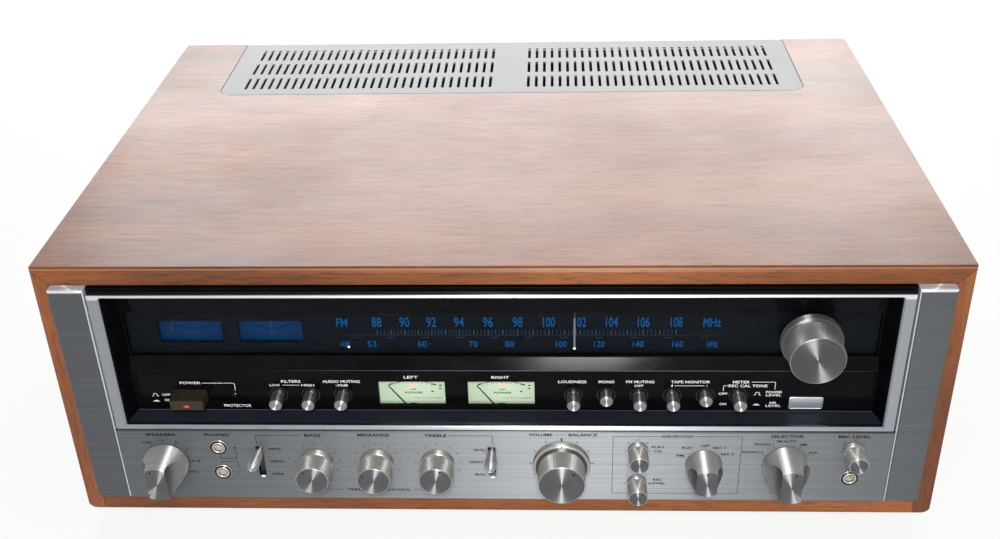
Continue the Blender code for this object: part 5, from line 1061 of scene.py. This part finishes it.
block_low, block_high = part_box("terminal_block")
bakelite, tree, shader = new_finish("black terminal strip", (0.015, 0.013, 0.012), 0.3)
tree.links.new(ramp(tree, noise(tree, (200, 200, 200), detail=6.0), (0.3, (0.009, 0.008, 0.008)),
                    (0.75, (0.03, 0.025, 0.022))), shader.inputs["Base Color"])
coat_node("terminal_block", bakelite)
screw_metal = spun("plated screw", (0.55, 0.53, 0.46), 0.3, 0.5, 0.3)
screws = bmesh.new()
for column in range(8):
    for row in (-8.5, 8.5):
        head = turned([(4.45, 11.5), (4.6, 11.9), (4.4, 12.2), (2.5, 12.28), (0, 12.3)], 32)
        set_in_back(head, -78.9 + 16.5 * (column - 3.5), EARS_AND_PANEL, 50.67 + row)
        merge_into(screws, head)
add_piece("terminal_screw_heads", screws, [screw_metal], "cabinet")

aerial_black, tree, shader = new_finish("black aerial rod", (0.015, 0.015, 0.016), 0.3)
tree.links.new(ramp(tree, noise(tree, (30, 400, 400)), (0.3, (0.009, 0.009, 0.01)), (0.7, (0.03, 0.03, 0.03))),
               shader.inputs["Base Color"])
coat_node("aerial_bar", aerial_black)

REAR_PRINT = 339.56
sheet = sheet_of_print()


def print_on_back(words, x, z, height, width=0.72):
    """Prints a word on the back, centred on x, to be read from behind."""
    word = sheet_of_print()
    print_centred(word, words, 0, 0, height, 0, width)
    centre = spot(0, 0, 0)
    bmesh.ops.transform(word, verts=word.verts, matrix=Matrix.Translation(spot(x, REAR_PRINT, z))
                        @ Matrix.Rotation(math.pi, 4, "Z") @ Matrix.Translation(-centre))
    merge_into(sheet, word)


for column, words in enumerate(("PHONO 1", "PHONO 2", "AUX", "REC 1", "PLAY 1", "REC 2", "PLAY 2")):
    print_on_back(words, 223.55 - 19 * column, 75.5, 2.2)
print_on_back("LEFT", 240.5, 62.3, 2.2, 0.6)
print_on_back("RIGHT", 240.5, 42.3, 2.2, 0.6)
for group, words in enumerate(("SPEAKERS A", "SPEAKERS B", "SPEAKERS C", "AERIAL")):
    print_on_back(words, -28.9 - 33 * group, 74, 2.4)
print_on_back("GND", 203, 92, 2.4)
print_on_back("AC INPUT", -226.2, 58, 2.4)
add_piece("rear_printing", sheet, [panel_white], "cabinet")


# The studio: a pale floor that reads as white but keeps the receiver's shadow, one small lamp above the
# camera, one low in front, one over the back that gives the boards their sheen, and a white surround.
floor_paint, tree, shader = new_finish("pale floor", (0.85, 0.85, 0.85), 0.9)
shader.inputs["Specular IOR Level"].default_value = 0.0
path = add_node(tree, "LightPath")
white_seen = sums(tree, "MAXIMUM", path.outputs["Is Camera Ray"],
                  sums(tree, "MAXIMUM", path.outputs["Is Glossy Ray"], path.outputs["Is Transmission Ray"]))
plain_white = add_node(tree, "Emission")
plain_white.inputs["Color"].default_value = (1, 1, 1, 1)
shown = add_node(tree, "MixShader")
tree.links.new(sums(tree, "MULTIPLY", white_seen, 0.8), shown.inputs[0])
tree.links.new(shader.outputs[0], shown.inputs[1])
tree.links.new(plain_white.outputs[0], shown.inputs[2])
tree.links.new(shown.outputs[0], tree.nodes["Material Output"].inputs["Surface"])
floor_shape = bmesh.new()
bmesh.ops.create_grid(floor_shape, x_segments=1, y_segments=1, size=6)
floor_mesh = bpy.data.meshes.new("floor")
floor_shape.to_mesh(floor_mesh)
floor_shape.free()
floor_mesh.materials.append(floor_paint)
floor = bpy.data.objects.new("floor", floor_mesh)
bpy.context.scene.collection.objects.link(floor)

world = bpy.data.worlds.new("surround")
bpy.context.scene.world = world
world.use_nodes = True
tree = world.node_tree
path = add_node(tree, "LightPath")
white_seen = sums(tree, "MAXIMUM", path.outputs["Is Camera Ray"],
                  sums(tree, "MAXIMUM", path.outputs["Is Glossy Ray"], path.outputs["Is Transmission Ray"]))
tree.links.new(spread(tree, white_seen, 0, 1, 0.14, 1.0), tree.nodes["Background"].inputs["Strength"])
tree.nodes["Background"].inputs["Color"].default_value = (1, 1, 1, 1)


def softbox(name, place, aim, width, height, power):
    """A soft rectangular lamp that the camera doesn't see."""
    light = bpy.data.lights.new(name, "AREA")
    light.shape = "RECTANGLE"
    light.size = width
    light.size_y = height
    light.energy = power
    lamp = bpy.data.objects.new(name, light)
    lamp.location = place
    lamp.rotation_euler = (Vector(aim) - Vector(place)).to_track_quat("-Z", "Y").to_euler()
    lamp.visible_camera = False
    bpy.context.scene.collection.objects.link(lamp)


softbox("front lamp", (0.05, -1.05, 0.92), (0.0, -0.17, 0.09), 0.22, 0.22, 13)
softbox("low lamp", (0.08, -1.3, 0.24), (0.02, -0.17, 0.06), 0.14, 0.12, 7)
softbox("back lamp", (0.02, 1.25, 0.83), (0.0, 0.05, 0.19), 1.9, 0.78, 28)


# The camera stands a little right of the middle and looks down on the front from about 30 degrees.
lens_data = bpy.data.cameras.new("camera")
lens_data.sensor_width = 36
lens_data.lens = 42.35
lens_data.shift_x = -0.0029
lens_data.shift_y = -0.052
camera = bpy.data.objects.new("camera", lens_data)
camera.matrix_world = Matrix(((0.99906, 0.00425, 0.04315, 0.0338), (0.03536, 0.49629, -0.86744, -0.7358),
                              (-0.0251, 0.86815, 0.49567, 0.5579), (0, 0, 0, 1)))
bpy.context.scene.collection.objects.link(camera)
bpy.context.scene.camera = camera
bpy.context.scene.view_settings.view_transform = "Standard"
